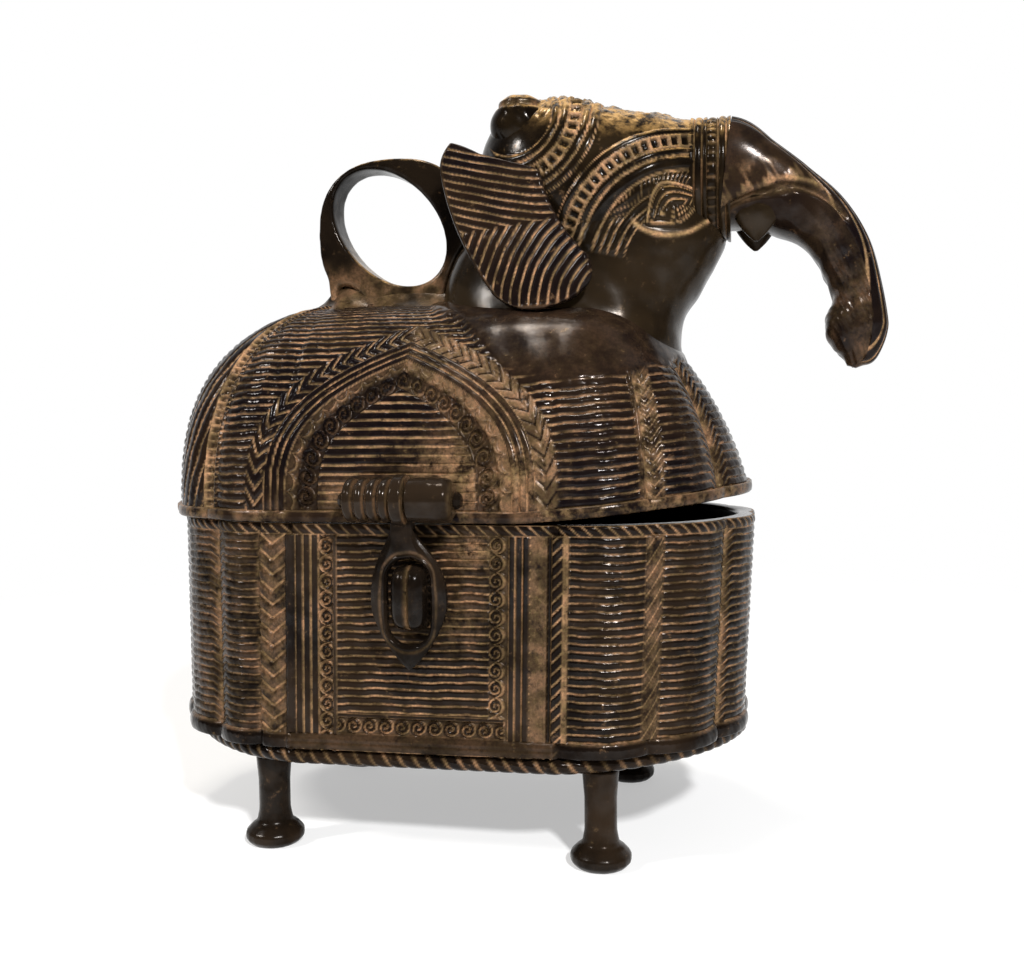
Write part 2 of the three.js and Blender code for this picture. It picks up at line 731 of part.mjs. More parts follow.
// The neck, from inside the dome up into the head. Stations: rise, shift along X, half depth and
// half width, as shares of the neck's sizes.
const neckForm = [
  [0, -0.015, 0.505, 0.88],
  [0.1, -0.02, 0.497, 0.735],
  [0.2, -0.025, 0.493, 0.63],
  [0.34, -0.02, 0.5, 0.54],
  [0.48, 0.016, 0.525, 0.495],
  [0.64, 0.058, 0.543, 0.47],
  [0.8, 0.112, 0.534, 0.455],
  [1, 0.14, 0.44, 0.41],
];
function neck(grow = 0) {
  const foot = crownZ - neckBury;
  const stations = neckForm.map(([rise, shift, deep, wide]) => [
    neckCentreX + shift * neckDepth,
    foot + rise * neckRise,
    deep * neckDepth,
    wide * neckWidth,
  ]);
  return loft(stations, { direction: Math.PI / 2, sides: 24, grow });
}

// The head, from the back of the skull to the bridle. Stations: place along the head, height of its
// middle, half height and half width, as shares of the head's sizes.
const headForm = [
  [0, 0.085, 0.11, 0.14],
  [0.05, 0.085, 0.25, 0.265],
  [0.14, 0.07, 0.387, 0.38],
  [0.26, 0.045, 0.475, 0.455],
  [0.43, 0.006, 0.512, 0.497],
  [0.62, -0.025, 0.474, 0.497],
  [0.81, -0.012, 0.416, 0.447],
  [0.93, 0, 0.365, 0.37],
  [1, 0.01, 0.345, 0.316],
];
const headZ = crownZ + headRise;
const headFrontX = headRearX + headLength;
const headStations = headForm.map(([along, rise, high, wide]) => [
  headRearX + along * headLength,
  headZ + rise * headHeight,
  high * headHeight,
  wide * headWidth,
]);
const muzzle = headStations.at(-1);

// An almond eye stands out of each side of the head.
function eye(side) {
  const almond = new THREE.Shape();
  almond.moveTo(-eyeLength / 2, -eyeLength * 0.2);
  almond.quadraticCurveTo(0, eyeLength * 0.55, eyeLength / 2, eyeLength * 0.1);
  almond.quadraticCurveTo(eyeLength * 0.1, -eyeLength * 0.45, -eyeLength / 2, -eyeLength * 0.2);
  const depth = headWidth / 4;
  const lid = new THREE.ExtrudeGeometry(almond, { depth, curveSegments: 5, bevelEnabled: false });
  const eyeX = headRearX + headLength * 0.9;
  const eyeZ = headZ - headHeight * 0.19;
  lid.applyMatrix4(alongY).translate(eyeX, depth / 2 + headWidth * 0.37, eyeZ);
  if (side < 0) lid.scale(1, -1, 1);
  // Only what stands proud of the head by the eye's relief is left.
  const shell = loft(headStations, { direction: 0, perSpan: 3, sides: 32, grow: eyeRelief });
  return solidOf(lid).intersect(shell);
}

// Half width of the head at a place on its side, or 0 above and below it.
function headHalfWidth(x, z) {
  let i = 0;
  while (i < headStations.length - 2 && headStations[i + 1][0] < x) i++;
  const [from, to] = [headStations[i], headStations[i + 1]];
  const share = Math.min(1, Math.max(0, (x - from[0]) / (to[0] - from[0])));
  const [, middle, high, wide] = from.map((value, k) => value + (to[k] - value) * share);
  const across = Math.abs(z - middle) / high;
  return across < 0.93 ? wide * (1 - across ** 2.3) ** (1 / 2.3) : 0;
}

// Bands over the cheek, in arcs round the hinge of the jaw, and one round the knobs of the skull.
function headBands(side) {
  const radius = bandDiameter / 2;
  const jaw = { x: headFrontX + headLength * 0.01, z: headZ - headHeight * 0.577 };
  const nape = { x: headRearX + headLength * 0.218, z: headZ + headHeight * 0.349 };
  const arcs = Array.from({ length: faceBands }, (_, n) => [jaw, faceRadius - n * faceBandPitch, 92, 150]);
  arcs.push([nape, napeRadius, -48, 8]);
  return arcs.map(([centre, reach, from, to]) => {
    const points = [];
    for (let i = 0; i <= 10; i++) {
      const angle = THREE.MathUtils.degToRad(from + ((to - from) * i) / 10);
      const [x, z] = [centre.x + reach * Math.cos(angle), centre.z + reach * Math.sin(angle)];
      const half = headHalfWidth(x, z);
      if (half) points.push(new THREE.Vector3(x, side * (half + bandRelief - radius), z));
    }
    return thread(points, radius);
  });
}

// Lumps along the top of the head. Places are shares of its length.
function crestBeads() {
  return [0.38, 0.5, 0.82, 0.88].map((share) => {
    const x = headRearX + share * headLength;
    let i = 0;
    while (headStations[i + 1][0] < x) i++;
    const [from, to] = [headStations[i], headStations[i + 1]];
    const along = (x - from[0]) / (to[0] - from[0]);
    const top = [from, to].map(([, z, high]) => z + high);
    const bead = new THREE.SphereGeometry(crestBead / 2, 10, 6);
    return solidOf(bead.translate(x, 0, top[0] + (top[1] - top[0]) * along - crestBead * 0.3));
  });
}

function neckAndHead(cutters) {
  const head = loft(headStations, { direction: 0, sides: 24 });
  const whole = join([neck(), head, eye(-1), eye(1), ...headBands(-1), ...headBands(1), ...crestBeads()]);
  return cutWith(whole, cutters);
}

// The collar between head and trunk, ringed with threads.
const bridleFrom = headFrontX + seatGap;
const bridleTo = bridleFrom + bridleLength;
function bridle(grow = 0) {
  const steps = bridleRings * 4;
  const stations = Array.from({ length: steps + 1 }, (_, i) => {
    const ring = bridleRingRelief * (0.5 - 0.5 * Math.cos((2 * Math.PI * bridleRings * i) / steps));
    const x = bridleFrom - grow + ((bridleLength + 2 * grow) * i) / steps;
    return [x, muzzle[1], muzzle[2] + ring, muzzle[3] + ring];
  });
  return loft(stations, { direction: 0, perSpan: 1, sides: 24, grow });
}

// The trunk. Stations: reach and drop of the middle line as shares of the trunk's reach and drop,
// then how far the half height and half width have gone from the muzzle's size to the tip's size.
const trunkForm = [
  [-0.17, 0, 0, 0],
  [0, 0, 0, 0],
  [0.17, 0.043, 0.44, 0.1],
  [0.363, 0.12, 0.72, 0.32],
  [0.568, 0.23, 0.94, 0.62],
  [0.715, 0.393, 1.04, 0.82],
  [0.803, 0.6, 1.13, 0.98],
  [0.803, 0.77, 0.95, 1],
  [0.803, 0.9, 1.22, 1.25],
  [0.775, 0.975, 1.75, 1.65],
];
const trunkRootX = bridleTo + seatGap;
function trunkStations() {
  const [, rootZ, rootHigh, rootWide] = muzzle;
  return trunkForm.map(([reach, drop, slim, narrow]) => [
    trunkRootX + reach * trunkLength,
    rootZ - drop * trunkHeight,
    rootHigh + slim * (trunkTipThickness / 2 - rootHigh),
    rootWide + narrow * (trunkTipWidth / 2 - rootWide),
  ]);
}
function trunk(grow = 0) {
  const whole = loft(trunkStations(), { perSpan: 3, sides: 18, squareness: 2.6, grow });
  return whole.trimByPlane([1, 0, 0], trunkRootX - grow);
}

// A flap ear with its front edge on the head; its rear edge stands out from the neck.
function ear(side, cutters) {
  const l = earLength;
  const outline = new THREE.Shape();
  outline.moveTo(0.48 * l, 0.8 * l);
  outline.lineTo(0.24 * l, 0.92 * l);
  outline.quadraticCurveTo(0.1 * l, 1.02 * l, 0.05 * l, l);
  outline.quadraticCurveTo(-0.03 * l, 0.92 * l, -0.01 * l, 0.82 * l);
  outline.quadraticCurveTo(0.07 * l, 0.44 * l, 0.34 * l, 0.09 * l);
  outline.quadraticCurveTo(0.54 * l, -0.08 * l, 0.82 * l, 0.06 * l);
  outline.quadraticCurveTo(0.98 * l, 0.16 * l, 0.89 * l, 0.3 * l);
  outline.quadraticCurveTo(0.68 * l, 0.5 * l, 0.6 * l, 0.8 * l);
  outline.closePath();
  const bevel = 0.6;
  const flap = new THREE.ExtrudeGeometry(outline, {
    depth: earThickness - 2 * bevel,
    curveSegments: 5,
    bevelThickness: bevel,
    bevelSize: bevel,
    bevelOffset: -bevel,
    bevelSegments: 1,
  });
  const hingeX = 0.88 * l;
  flap.applyMatrix4(alongY).translate(-hingeX, 0, 0);
  flap.translate(0, 0, -l).rotateX(THREE.MathUtils.degToRad(-earTilt)).translate(0, 0, l);
  flap.rotateZ(-THREE.MathUtils.degToRad(earTurn));
  const outside = headWidth / 2 + earThickness;
  flap.translate(headRearX + headLength * 0.56, earThickness - outside, headZ - headHeight * 0.79);
  if (side > 0) flap.scale(1, -1, 1);
  return cutWith(solidOf(flap), cutters);
}

// The twin domes at the back of the skull.
function skullKnob(side, cutters) {
  const ball = new THREE.SphereGeometry(knobDiameter / 2, roundSides, roundSides / 2);
  const x = headRearX + headLength * 0.22;
  ball.translate(x, (side * knobSpacing) / 2, headZ + headHeight * 0.515 - knobDiameter * 0.45);
  return cutWith(solidOf(ball), cutters);
}

// A short blunt tusk under each side of the trunk's root.
function tusk(side, cutters) {
  const profile = [
    [0, -1],
    [0.35, -0.92],
    [0.65, -0.72],
    [0.88, -0.4],
    [1, 0],
    [1, 0.3],
    [0, 0.3],
  ].map(([r, z]) => new THREE.Vector2((r * tuskDiameter) / 2, z * tuskLength));
  const [, rootZ, rootHigh, rootWide] = muzzle;
  const blunt = new THREE.LatheGeometry(profile, 12).rotateX(Math.PI / 2);
  blunt.translate(trunkRootX + trunkLength * 0.17, side * rootWide * 0.58, rootZ - rootHigh * 0.5);
  return cutWith(solidOf(blunt), cutters);
}

// Finishes, from the photograph: dark brown bronze, a little redder on the tub, greener and
// duller on the neck, with bare metal showing on the hasp and pins.
const finishes = {
  tub: { color: 0x3a2a1c, roughness: 0.42, metalness: 0.85 },
  lid: { color: 0x3d2d1d, roughness: 0.4, metalness: 0.85 },
  leg: { color: 0x35291d, roughness: 0.5, metalness: 0.8 },
  head: { color: 0x3f3220, roughness: 0.42, metalness: 0.85 },
  hardware: { color: 0x2f2720, roughness: 0.36, metalness: 0.9 },
};

const casket = new THREE.Group();
function place(name, solid, finish, x = 0, y = 0) {
  const mesh = new THREE.Mesh(geometryOf(solid), new THREE.MeshStandardMaterial(finishes[finish]));
  mesh.name = name;
  mesh.position.set(x, y, 0);
  casket.add(mesh);
}

place("tub_shell", tubShell(), "tub");
place("base_rope", baseRope(), "tub");
for (const [end, y] of [["front", -legSpacingY / 2], ["rear", legSpacingY / 2]])
  for (const [side, across] of [["left", -legSpacingX / 2], ["right", legSpacingX / 2]]) {
    const x = across + legShift;
    place(`leg_${end}_${side}`, leg(x), "leg", x, y);
  }
place("lug", lug(), "hardware");

const knuckleGap = hingeKnuckleLength / 2 + seatGap;
const tubLeaf = [rimZ - seatGap, hingeZ - hingeLeaf];
const lidLeaf = [lidZ + seatGap, hingeZ + hingeLeaf];
const halfKnuckle = hingeKnuckleLength / 2;
place("tub_knuckle_left", hingeKnuckle(-hingeSpan, -knuckleGap, ...tubLeaf), "tub");
place("tub_knuckle_right", hingeKnuckle(knuckleGap, hingeSpan, ...tubLeaf), "tub");
place("lid_knuckle", hingeKnuckle(-halfKnuckle, halfKnuckle, ...lidLeaf), "lid");
const rearPin = { y: hingeY, z: hingeZ, from: -hingeSpan, to: hingeSpan, diameter: hingePinDiameter };
place("hinge_pin", headedPin(rearPin), "hardware");

place("lid_dome", lidDome(), "lid");
place("hasp_knuckle_left", ribbedHaspKnuckle(), "lid");
place("hasp_knuckle_right", haspKnuckle(haspEyeTo + seatGap, haspRightTo, haspBarrelDiameter), "lid");
const frontPin = { y: haspY, z: haspZ, from: haspLeftFrom, to: haspRightTo, diameter: haspPinDiameter };
place("hasp_pin", headedPin(frontPin), "hardware");
place("hasp", hasp(), "hardware");

const domeCut = domeCutter(seatGap);
const bridleCut = bridle(seatGap);
const trunkCut = trunk(seatGap);
const headCut = loft(headStations, { direction: 0, sides: 24, grow: seatGap });
const neckCut = neck(seatGap);
place("neck_and_head", neckAndHead([domeCut, bridleCut, trunkCut]), "head");
place("bridle", bridle(), "head");
place("trunk", trunk(), "head");
place("handle_ring", handleRing([domeCut, neckCut, headCut]), "lid");
for (const [name, side] of [["left", -1], ["right", 1]]) {
  place(`ear_${name}`, ear(side, [headCut, neckCut]), "head");
  place(`skull_knob_${name}`, skullKnob(side, [headCut]), "head");
  place(`tusk_${name}`, tusk(side, [trunkCut, neckCut, bridleCut]), "head");
}

// The origin is on the floor, under the middle of the whole casket.
const root = new THREE.Group();
root.add(casket);
casket.updateMatrixWorld(true);
const middle = new THREE.Box3().setFromObject(casket).getCenter(new THREE.Vector3());
casket.position.set(-middle.x, -middle.y, 0);

export default root;
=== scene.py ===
"""Dresses the cast bronze casket: thread work, ropes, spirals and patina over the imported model.

Lengths in this file are millimetres in the box's own frame: X runs along the box towards the trunk,
Y from the front wall to the back, Z up from the floor, and the origin is in the middle of the plan.
"""
import math

import bmesh
import bpy
import numpy as np
from mathutils import Matrix, Vector


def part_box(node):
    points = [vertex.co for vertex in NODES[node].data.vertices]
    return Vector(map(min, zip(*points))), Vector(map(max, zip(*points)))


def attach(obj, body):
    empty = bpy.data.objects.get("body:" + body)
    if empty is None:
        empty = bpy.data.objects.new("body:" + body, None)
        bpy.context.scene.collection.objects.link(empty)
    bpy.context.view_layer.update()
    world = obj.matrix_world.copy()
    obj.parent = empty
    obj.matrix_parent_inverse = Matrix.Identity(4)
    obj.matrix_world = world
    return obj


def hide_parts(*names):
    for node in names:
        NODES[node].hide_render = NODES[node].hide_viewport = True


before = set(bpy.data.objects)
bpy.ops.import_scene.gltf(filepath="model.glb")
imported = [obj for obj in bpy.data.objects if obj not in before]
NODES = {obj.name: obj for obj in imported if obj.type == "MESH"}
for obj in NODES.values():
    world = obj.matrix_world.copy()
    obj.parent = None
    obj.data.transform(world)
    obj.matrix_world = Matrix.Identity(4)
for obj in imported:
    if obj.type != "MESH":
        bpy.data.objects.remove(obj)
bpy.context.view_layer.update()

TURN = 2 * math.pi
MM = 0.001
WELD_DISTANCE = 2e-6

# The box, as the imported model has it.
END_RADIUS = 38.5
STRAIGHT = 28.0
LOBES = 6
LOBE_ARC = END_RADIUS * math.pi / LOBES
GROOVES = [STRAIGHT + LOBE_ARC * k for k in (1, 2, 3)]
LOBE_DEPTH = 2.0
LEFT_BAND = 7.2
WALL = 2.6
INNER = END_RADIUS - LOBE_DEPTH - WALL
LEG_HEIGHT = 20.2
TUB_HEIGHT = 50.2
TUB_DRAFT = 1.1
TUB_SHIFT = 0.5
TUB_LEAN = 1.2
BASE_SLANT = 1.6
BOX_LENGTH = 133.0
RIM_Z = LEG_HEIGHT + TUB_HEIGHT
SLAB = 3.6
FLARE_TOP = SLAB + 3.2
FLARE = 0.8
ROPE_THICK = 3.3
ROPE_INSET = 0.5
ROPE_STRAND = 3.15
CORNER_INSET = 3.3
LID_Z = RIM_Z + 0.3
DOME_HEIGHT = 47.3
DOME_FULL = 2.4
DOME_BACK = 2.75
DOME_FRONT = 1.3
LID_SHIFT = -0.9
BAND = 2.4
BAND_PROUD = 0.5
RIM_LIFT = 4.6
LIFT_START = 20.0
CROWN_Z = LID_Z + DOME_HEIGHT
ARCH_HALF = 28.0
ARCH_HEIGHT = 34.2
ARCH_SHIFT = -4.2
ARCH_GROWTH = 0.85
LEG_SHIFT = -0.3

# Head, neck and trunk.
HEAD_REAR = 5.5
HEAD_LONG = 47.7
HEAD_HIGH = 36.4
HEAD_WIDE = 35.8
HEAD_Z = CROWN_Z + 24.6
HEAD_FRONT = HEAD_REAR + HEAD_LONG
NECK_X = 24.5
NECK_DEEP = 55.0
NECK_WIDE = 36.0
NECK_RISE = 38.0
NECK_FOOT = CROWN_Z - 18.0
TRUNK_REACH = 33.6
TRUNK_DROP = 42.2
TIP_HIGH = 6.0
TIP_WIDE = 5.2
BRIDLE_FROM = HEAD_FRONT + 0.3
BRIDLE_TO = BRIDLE_FROM + 6.6
TRUNK_ROOT = BRIDLE_TO + 0.3

# Rows and columns of the grids.
TUB_ROWS, LID_ROWS, ROPE_ROWS = 236, 250, 18
NECK_ROWS, NECK_SIDES = 112, 640
HEAD_ROWS, HEAD_SIDES = 210, 348
BRIDLE_ROWS, BRIDLE_SIDES = 60, 200
TRUNK_ROWS, TRUNK_HIDDEN, TRUNK_SIDES = 220, 22, 190
EAR_ROWS, EAR_COLUMNS = 158, 116
KNOB_GRID, LUG_GRID = (78, 128), (90, 140)
BARREL_SIDES = 72

# Pitch of the wax threads, and of the coils in the panels' frames.
THREAD = 1.65
LID_THREAD = 1.85
FRAME_COIL = 3.6

# The legs stand round the middle of the plan, so their boxes place this frame in the model's own.
LEGS = [f"leg_{end}_{side}" for end in ("front", "rear") for side in ("left", "right")]
middle = np.mean([(np.array(low) + np.array(high)) / 2 for low, high in map(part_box, LEGS)], axis=0) / MM
OFFSET = np.array([middle[0] - LEG_SHIFT, middle[1], 0.0])


def step(x, low, high):
    """Smooth step from 0 at low to 1 at high: three squares less two cubes of the way between them."""
    t = np.clip((x - low) / (high - low), 0, 1)
    return t * t * (3 - 2 * t)


def between(x, low, high, edge=0.15):
    """(mask, across) of the band from low to high. The mask is a smooth step up at low times one down
    at high, and across is the place between them, from -1 to 1."""
    mask = step(x, low - edge, low + edge) * (1 - step(x, high - edge, high + edge))
    return mask, np.clip((2 * x - low - high) / (high - low), -1, 1)


def near(value, middle, reach):
    """A bell curve, 1 at the middle: e to the minus square of the distance over reach."""
    return np.exp(-(((value - middle) / reach) ** 2))


def patch(a, b, middle_a, middle_b, reach_a, reach_b):
    """A soft spot, 1 in its middle: a bell curve of a times one of b."""
    return near(a, middle_a, reach_a) * near(b, middle_b, reach_b)


def rounded(value, power=2):
    """A round back: the root of 1 less value's power, so 1 where value is 0, and 0 from 1 on."""
    return np.sqrt(np.clip(1 - value**power, 0, 1))


def blunt(value, power):
    """A power of the value's size, with the value's sign."""
    return np.sign(value) * np.abs(value) ** power


def saw(phase):
    """Twice the distance from the middle of each whole step of the phase, so 1 at the step's ends."""
    return 2 * np.abs(phase % 1 - 0.5)


def turns(count):
    """Angles once round, in even steps from 0."""
    return np.linspace(0, TURN, count, endpoint=False)


def walked(steps):
    """The way covered at each station: the sum of the steps up to it, from 0."""
    return np.concatenate([np.zeros_like(steps[:1]), np.cumsum(steps, axis=0)])


def grid(*parts):
    """Points from their X, Y and Z, each of any shape that fits the others."""
    return np.stack(np.broadcast_arrays(*parts), -1)


def rotated(a, b, angle):
    """a and b turned by the angle: each gets its own cosine share and the other's sine share."""
    return a * math.cos(angle) + b * math.sin(angle), b * math.cos(angle) - a * math.sin(angle)


def wander(a, b, seed):
    """A slow wave between -1 and 1, as a hand-laid thread has: three sines of mixtures of a and b."""
    return (
        np.sin(a * 0.31 + seed) * 0.4
        + np.sin(b * 0.23 - a * 0.11 + 2.3 * seed) * 0.35
        + np.sin(a * 0.83 + b * 0.47 + 4.1 * seed) * 0.25
    )


# Each pattern gives (height below its crests, clay in its valleys).
def threads(phase, relief=0.5):
    """Round threads side by side: a round back in each step of the phase, of the saw's power 2.3."""
    f = saw(phase)
    return -relief * (1 - rounded(f, 2.3)), step(f, 0.68, 0.92)


def ladder(along, across, pitch, relief=0.8):
    """A thin frame with rungs round square pits: a pit is where the saw along and the place across are
    both small. Clay stays on the frame."""
    pit = (1 - step(saw(along / pitch), 0.5, 0.74)) * (1 - step(np.abs(across), 0.6, 0.84))
    return -relief * pit, 0.95 * (1 - pit)


def cord(across, relief=0.8):
    """One round thread, half an ellipse across, with clay along both of its edges."""
    return relief * (rounded(across) - 1), step(np.abs(across), 0.7, 0.92)


def rope(along, across, half, pitch, lean, relief=0.8):
    """A twisted rope. Its strands are round backs in the saw of the way along plus lean times the way
    across, and the body's round section across multiplies them."""
    f = saw((along + lean * across * half) / pitch)
    body = np.sqrt(1 - 0.9 * across**2)
    height = relief * (body * (0.5 + 0.5 * rounded(f, 2.2)) - 1)
    return height, np.maximum(step(f, 0.7, 0.98), 0.8 * step(np.abs(across), 0.86, 1))


def feather(along, across, half, pitch, lean, relief=0.6):
    """Two rows of slanting strokes: threads of the way along less lean times the distance from the
    middle line, where they meet in a shallow groove."""
    height, clay = threads((along - lean * half * np.abs(across)) / pitch, relief)
    return height - relief * 0.4 * (1 - step(np.abs(across), 0, 0.14)), clay


def coils(along, across, pitch, strand=0.95, relief=0.75):
    """A row of small spirals, one in each pitch: a cosine of the distance from its middle, counted in
    strands, less the angle round it. across is in millimetres from the row's middle."""
    beside = (along / pitch - np.round(along / pitch)) * pitch
    r = np.hypot(beside, across)
    wave = 0.5 + 0.5 * np.cos(TURN * (r / strand - np.arctan2(across, beside) / TURN))
    inside = 1 - step(r, pitch * 0.42, pitch * 0.5)
    return relief * (wave * inside - 1), inside * (1 - step(wave, 0.08, 0.42)) + 0.2 * (1 - inside)


def scallops(along, across, pitch, bulge, width=0.42, relief=0.6):
    """A thin line bent into a row of arcs: a bell curve of the distance from a half ellipse, one pitch
    long and bulge high. across is in millimetres from the arcs' feet."""
    line = near(across, bulge * rounded(2 * (along / pitch % 1) - 1), width)
    return relief * (line - 1), 0.85 * line


class Relief:
    """Height in millimetres, clay in the valleys and dust over all, both from 0 to 1, on a grid."""

    def __init__(self, height, clay):
        self.height = np.array(height, float)
        self.clay = np.array(clay, float)
        self.dust = np.zeros_like(self.height)

    def lay(self, mask, pattern, sunk=0.0, dust=0.0):
        """Blends a pattern in: its share is the mask, and the share of what was there is the rest."""
        height, clay = pattern
        self.height = self.height * (1 - mask) + (height - sunk) * mask
        self.clay = self.clay * (1 - mask) + clay * mask
        self.dust = self.dust * (1 - mask) + dust * mask

    def band(self, x, low, high, pattern, sunk=0.0, dust=0.0, within=1.0, edge=0.15):
        """Lays a pattern, or what a function of the place across gives, on a band of x."""
        mask, across = between(x, low, high, edge)
        self.lay(mask * within, pattern(across) if callable(pattern) else pattern, sunk, dust)


# Meshes.
def outward(verts, faces):
    """True if the closed surface's faces look out: the signed volumes of the pyramids from the origin
    to its triangles don't add up to less than 0."""
    volume = 0.0
    for quads in faces:
        first = verts[quads[:, 0]]
        for k in range(1, quads.shape[1] - 1):
            volume += np.einsum("ij,ij->", first, np.cross(verts[quads[:, k]], verts[quads[:, k + 1]]))
    return volume >= 0


def placed(name, data):
    """A new object in the scene."""
    made = bpy.data.objects.new(name, data)
    bpy.context.scene.collection.objects.link(made)
    return made


def piece(
    name, points, body, slot, material, node="",
    loops=(False, True), clay=0.0, dust=0.0, weld=False, smooth=70,
):
    """A piece of the object from a grid of points, rows by columns by 3.

    loops says whether rows and columns close on themselves. An open end of a grid whose other
    direction is closed gets a flat face, so every piece is a closed body.
    """
    points = np.asarray(points, float)
    rows, cols = points.shape[:2]
    verts = points.reshape(-1, 3)
    index = np.arange(rows * cols).reshape(rows, cols)
    ring = np.concatenate([index, index[:1]]) if loops[0] else index
    ring = np.concatenate([ring, ring[:, :1]], axis=1) if loops[1] else ring
    quads = np.stack([ring[:-1, :-1], ring[:-1, 1:], ring[1:, 1:], ring[1:, :-1]], -1).reshape(-1, 4)
    caps = []
    if not loops[0] and not weld:
        caps = [index[0][::-1], index[-1]]
    if not loops[1]:
        caps = [index[:, 0], index[:, -1][::-1]]
    faces = [quads] + [cap[None, :] for cap in caps]
    if not outward(verts, faces):
        faces = [f[:, ::-1] for f in faces]
    corners = np.concatenate([f.ravel() for f in faces])
    sizes = np.concatenate([np.full(len(f), f.shape[1]) for f in faces])
    starts = np.concatenate([[0], np.cumsum(sizes)[:-1]])
    mesh = bpy.data.meshes.new(name)
    mesh.vertices.add(len(verts))
    mesh.vertices.foreach_set("co", ((verts + OFFSET) * MM).astype(np.float32).ravel())
    mesh.loops.add(len(corners))
    mesh.loops.foreach_set("vertex_index", corners.astype(np.int32))
    mesh.polygons.add(len(starts))
    mesh.polygons.foreach_set("loop_start", starts.astype(np.int32))
    mesh.update(calc_edges=True)
    for kind, values in (("clay", clay), ("dust", dust)):
        values = np.broadcast_to(np.asarray(values, np.float32), (rows, cols)).ravel()
        mesh.attributes.new(kind, "FLOAT", "POINT").data.foreach_set("value", values)
    if weld:
        work = bmesh.new()
        work.from_mesh(mesh)
        bmesh.ops.remove_doubles(work, verts=work.verts, dist=WELD_DISTANCE)
        work.to_mesh(mesh)
        work.free()
    mesh.validate()
    mesh.shade_smooth()
    mesh.set_sharp_from_angle(angle=math.radians(smooth))
    made = placed(name, mesh)
    mesh.materials.append(material)
    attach(made, body)
    if node:
        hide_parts(node)
    return made


def elephant_part(name, points, finish, node="", clay=0.0):
    """A piece of the elephant."""
    piece(name, points, "lid", "bronze_elephant", finish, node, clay=clay)


# Materials.
SOIL = (0.341, 0.18, 0.0924, 1)
DULL_SOIL = (0.2418, 0.162, 0.0704, 1)
DAMP_SOIL = (0.1705, 0.099, 0.0484, 1)
# Gilt colour for upward faces: worn bare metal, and also painted light on the tops.
GILT_AND_TOP_LIGHT = (0.42, 0.245, 0.085, 1)
BUMP_DEPTH = 0.00012


def node_of(tree, kind, *inputs, output=0, **settings):
    """One output of a new node. Its inputs are set, or linked where a socket is given."""
    node = tree.nodes.new("ShaderNode" + kind)
    for key, value in settings.items():
        setattr(node, key, value)
    for socket, value in zip(node.inputs, inputs):
        if isinstance(value, bpy.types.NodeSocket):
            tree.links.new(value, socket)
        elif value is not None:
            socket.default_value = value
    return node.outputs[output]


def bronze(name, dark, tint, rough=0.09, gloss=0.11, gilt_and_top_light=0.0, spots=0.25, foot=None):
    """Cast bronze under a dark glossy patina of two colours, dark and tint. Soil lies where the clay
    attribute says, and in matt patches where dust says. gilt is how far bare metal shows on what faces
    up, which also paints those tops lighter as if lit from above: partly wear, partly painted light.
    foot is a pair of heights in metres, between which a soiled foot fades out."""
    made = bpy.data.materials.new(name)
    made.use_nodes = True
    tree = made.node_tree

    def node(kind, *inputs, **settings):
        return node_of(tree, kind, *inputs, **settings)

    def times(a, b):
        return node("Math", a, b, operation="MULTIPLY")

    def plus(a, b):
        return node("Math", a, b, operation="ADD")

    def larger(a, b):
        return node("Math", a, b, operation="MAXIMUM")

    def mix(factor, a, b):
        return node("Mix", factor, *[None] * 5, a, b, data_type="RGBA", output=2)

    def noise(scale, detail, rough_by=0.6):
        return node("TexNoise", where, None, scale, detail, rough_by)

    def ramp(value, low, high):
        return node("MapRange", value, low, high, interpolation_type="SMOOTHSTEP")

    where = node("TexCoord", output="Object")
    in_valley = node("Attribute", attribute_name="clay", output=2)
    dusty = node("Attribute", attribute_name="dust", output=2)
    coarse, patchy = noise(50.0, 3.0), noise(170.0, 4.0)
    fine, grain = noise(480.0, 5.0, 0.7), noise(1700.0, 3.0, 0.7)
    left_in = plus(times(ramp(patchy, 0.36, 0.6), 0.6), 0.4)
    valley = times(times(in_valley, ramp(fine, 0.26, 0.5)), left_in)
    film = times(ramp(plus(times(patchy, 0.4), times(fine, 0.6)), 0.38, 0.6), dusty)
    speck = times(ramp(fine, 0.6, 0.74), spots)
    if foot:
        level = node("SeparateXYZ", where, output=2)
        stain = times(ramp(level, foot[1], foot[0]), ramp(patchy, 0.3, 0.75))
        speck = larger(speck, times(stain, 0.55))
    covered = node("Math", larger(larger(valley, film), speck), 1.0, operation="MINIMUM")
    base = mix(ramp(coarse, 0.35, 0.68), (*dark, 1), (*tint, 1))
    base = mix(times(ramp(fine, 0.45, 0.75), 0.4), base, (*tint, 1))
    soil = mix(ramp(patchy, 0.42, 0.62), DULL_SOIL, SOIL)
    soil = mix(ramp(grain, 0.35, 0.65), soil, DAMP_SOIL)
    colour = mix(covered, base, soil)
    metallic = times(node("Math", 1.0, covered, operation="SUBTRACT"), 0.15)
    roughness = plus(times(covered, 0.5), plus(times(grain, 0.12), rough))
    # Upward faces take the gilt colour: partly worn bare metal, partly a painted highlight where light falls
    # on the tops.
    if gilt_and_top_light:
        upward = node("SeparateXYZ", node("NewGeometry", output="Normal"), output=2)
        worn = plus(times(fine, 0.7), times(patchy, 0.3))
        top = times(times(ramp(upward, 0.35, 0.9), ramp(worn, 0.4, 0.62)), gilt_and_top_light)
        colour = mix(top, colour, GILT_AND_TOP_LIGHT)
        metallic = larger(metallic, times(top, 0.3))
        roughness = larger(roughness, times(top, 0.5))
    specular = times(plus(times(ramp(patchy, 0.38, 0.62), 0.85), 0.3), gloss)
    bump = tree.nodes.new("ShaderNodeBump")
    bump.inputs["Strength"].default_value = 0.2
    bump.inputs["Distance"].default_value = BUMP_DEPTH
    tree.links.new(plus(fine, times(grain, 0.35)), bump.inputs["Height"])
    sockets = {"Base Color": colour, "Metallic": metallic, "Roughness": roughness}
    sockets |= {"Specular IOR Level": specular, "Normal": bump.outputs[0]}
    for socket, value in sockets.items():
        tree.links.new(value, tree.nodes["Principled BSDF"].inputs[socket])
    return made


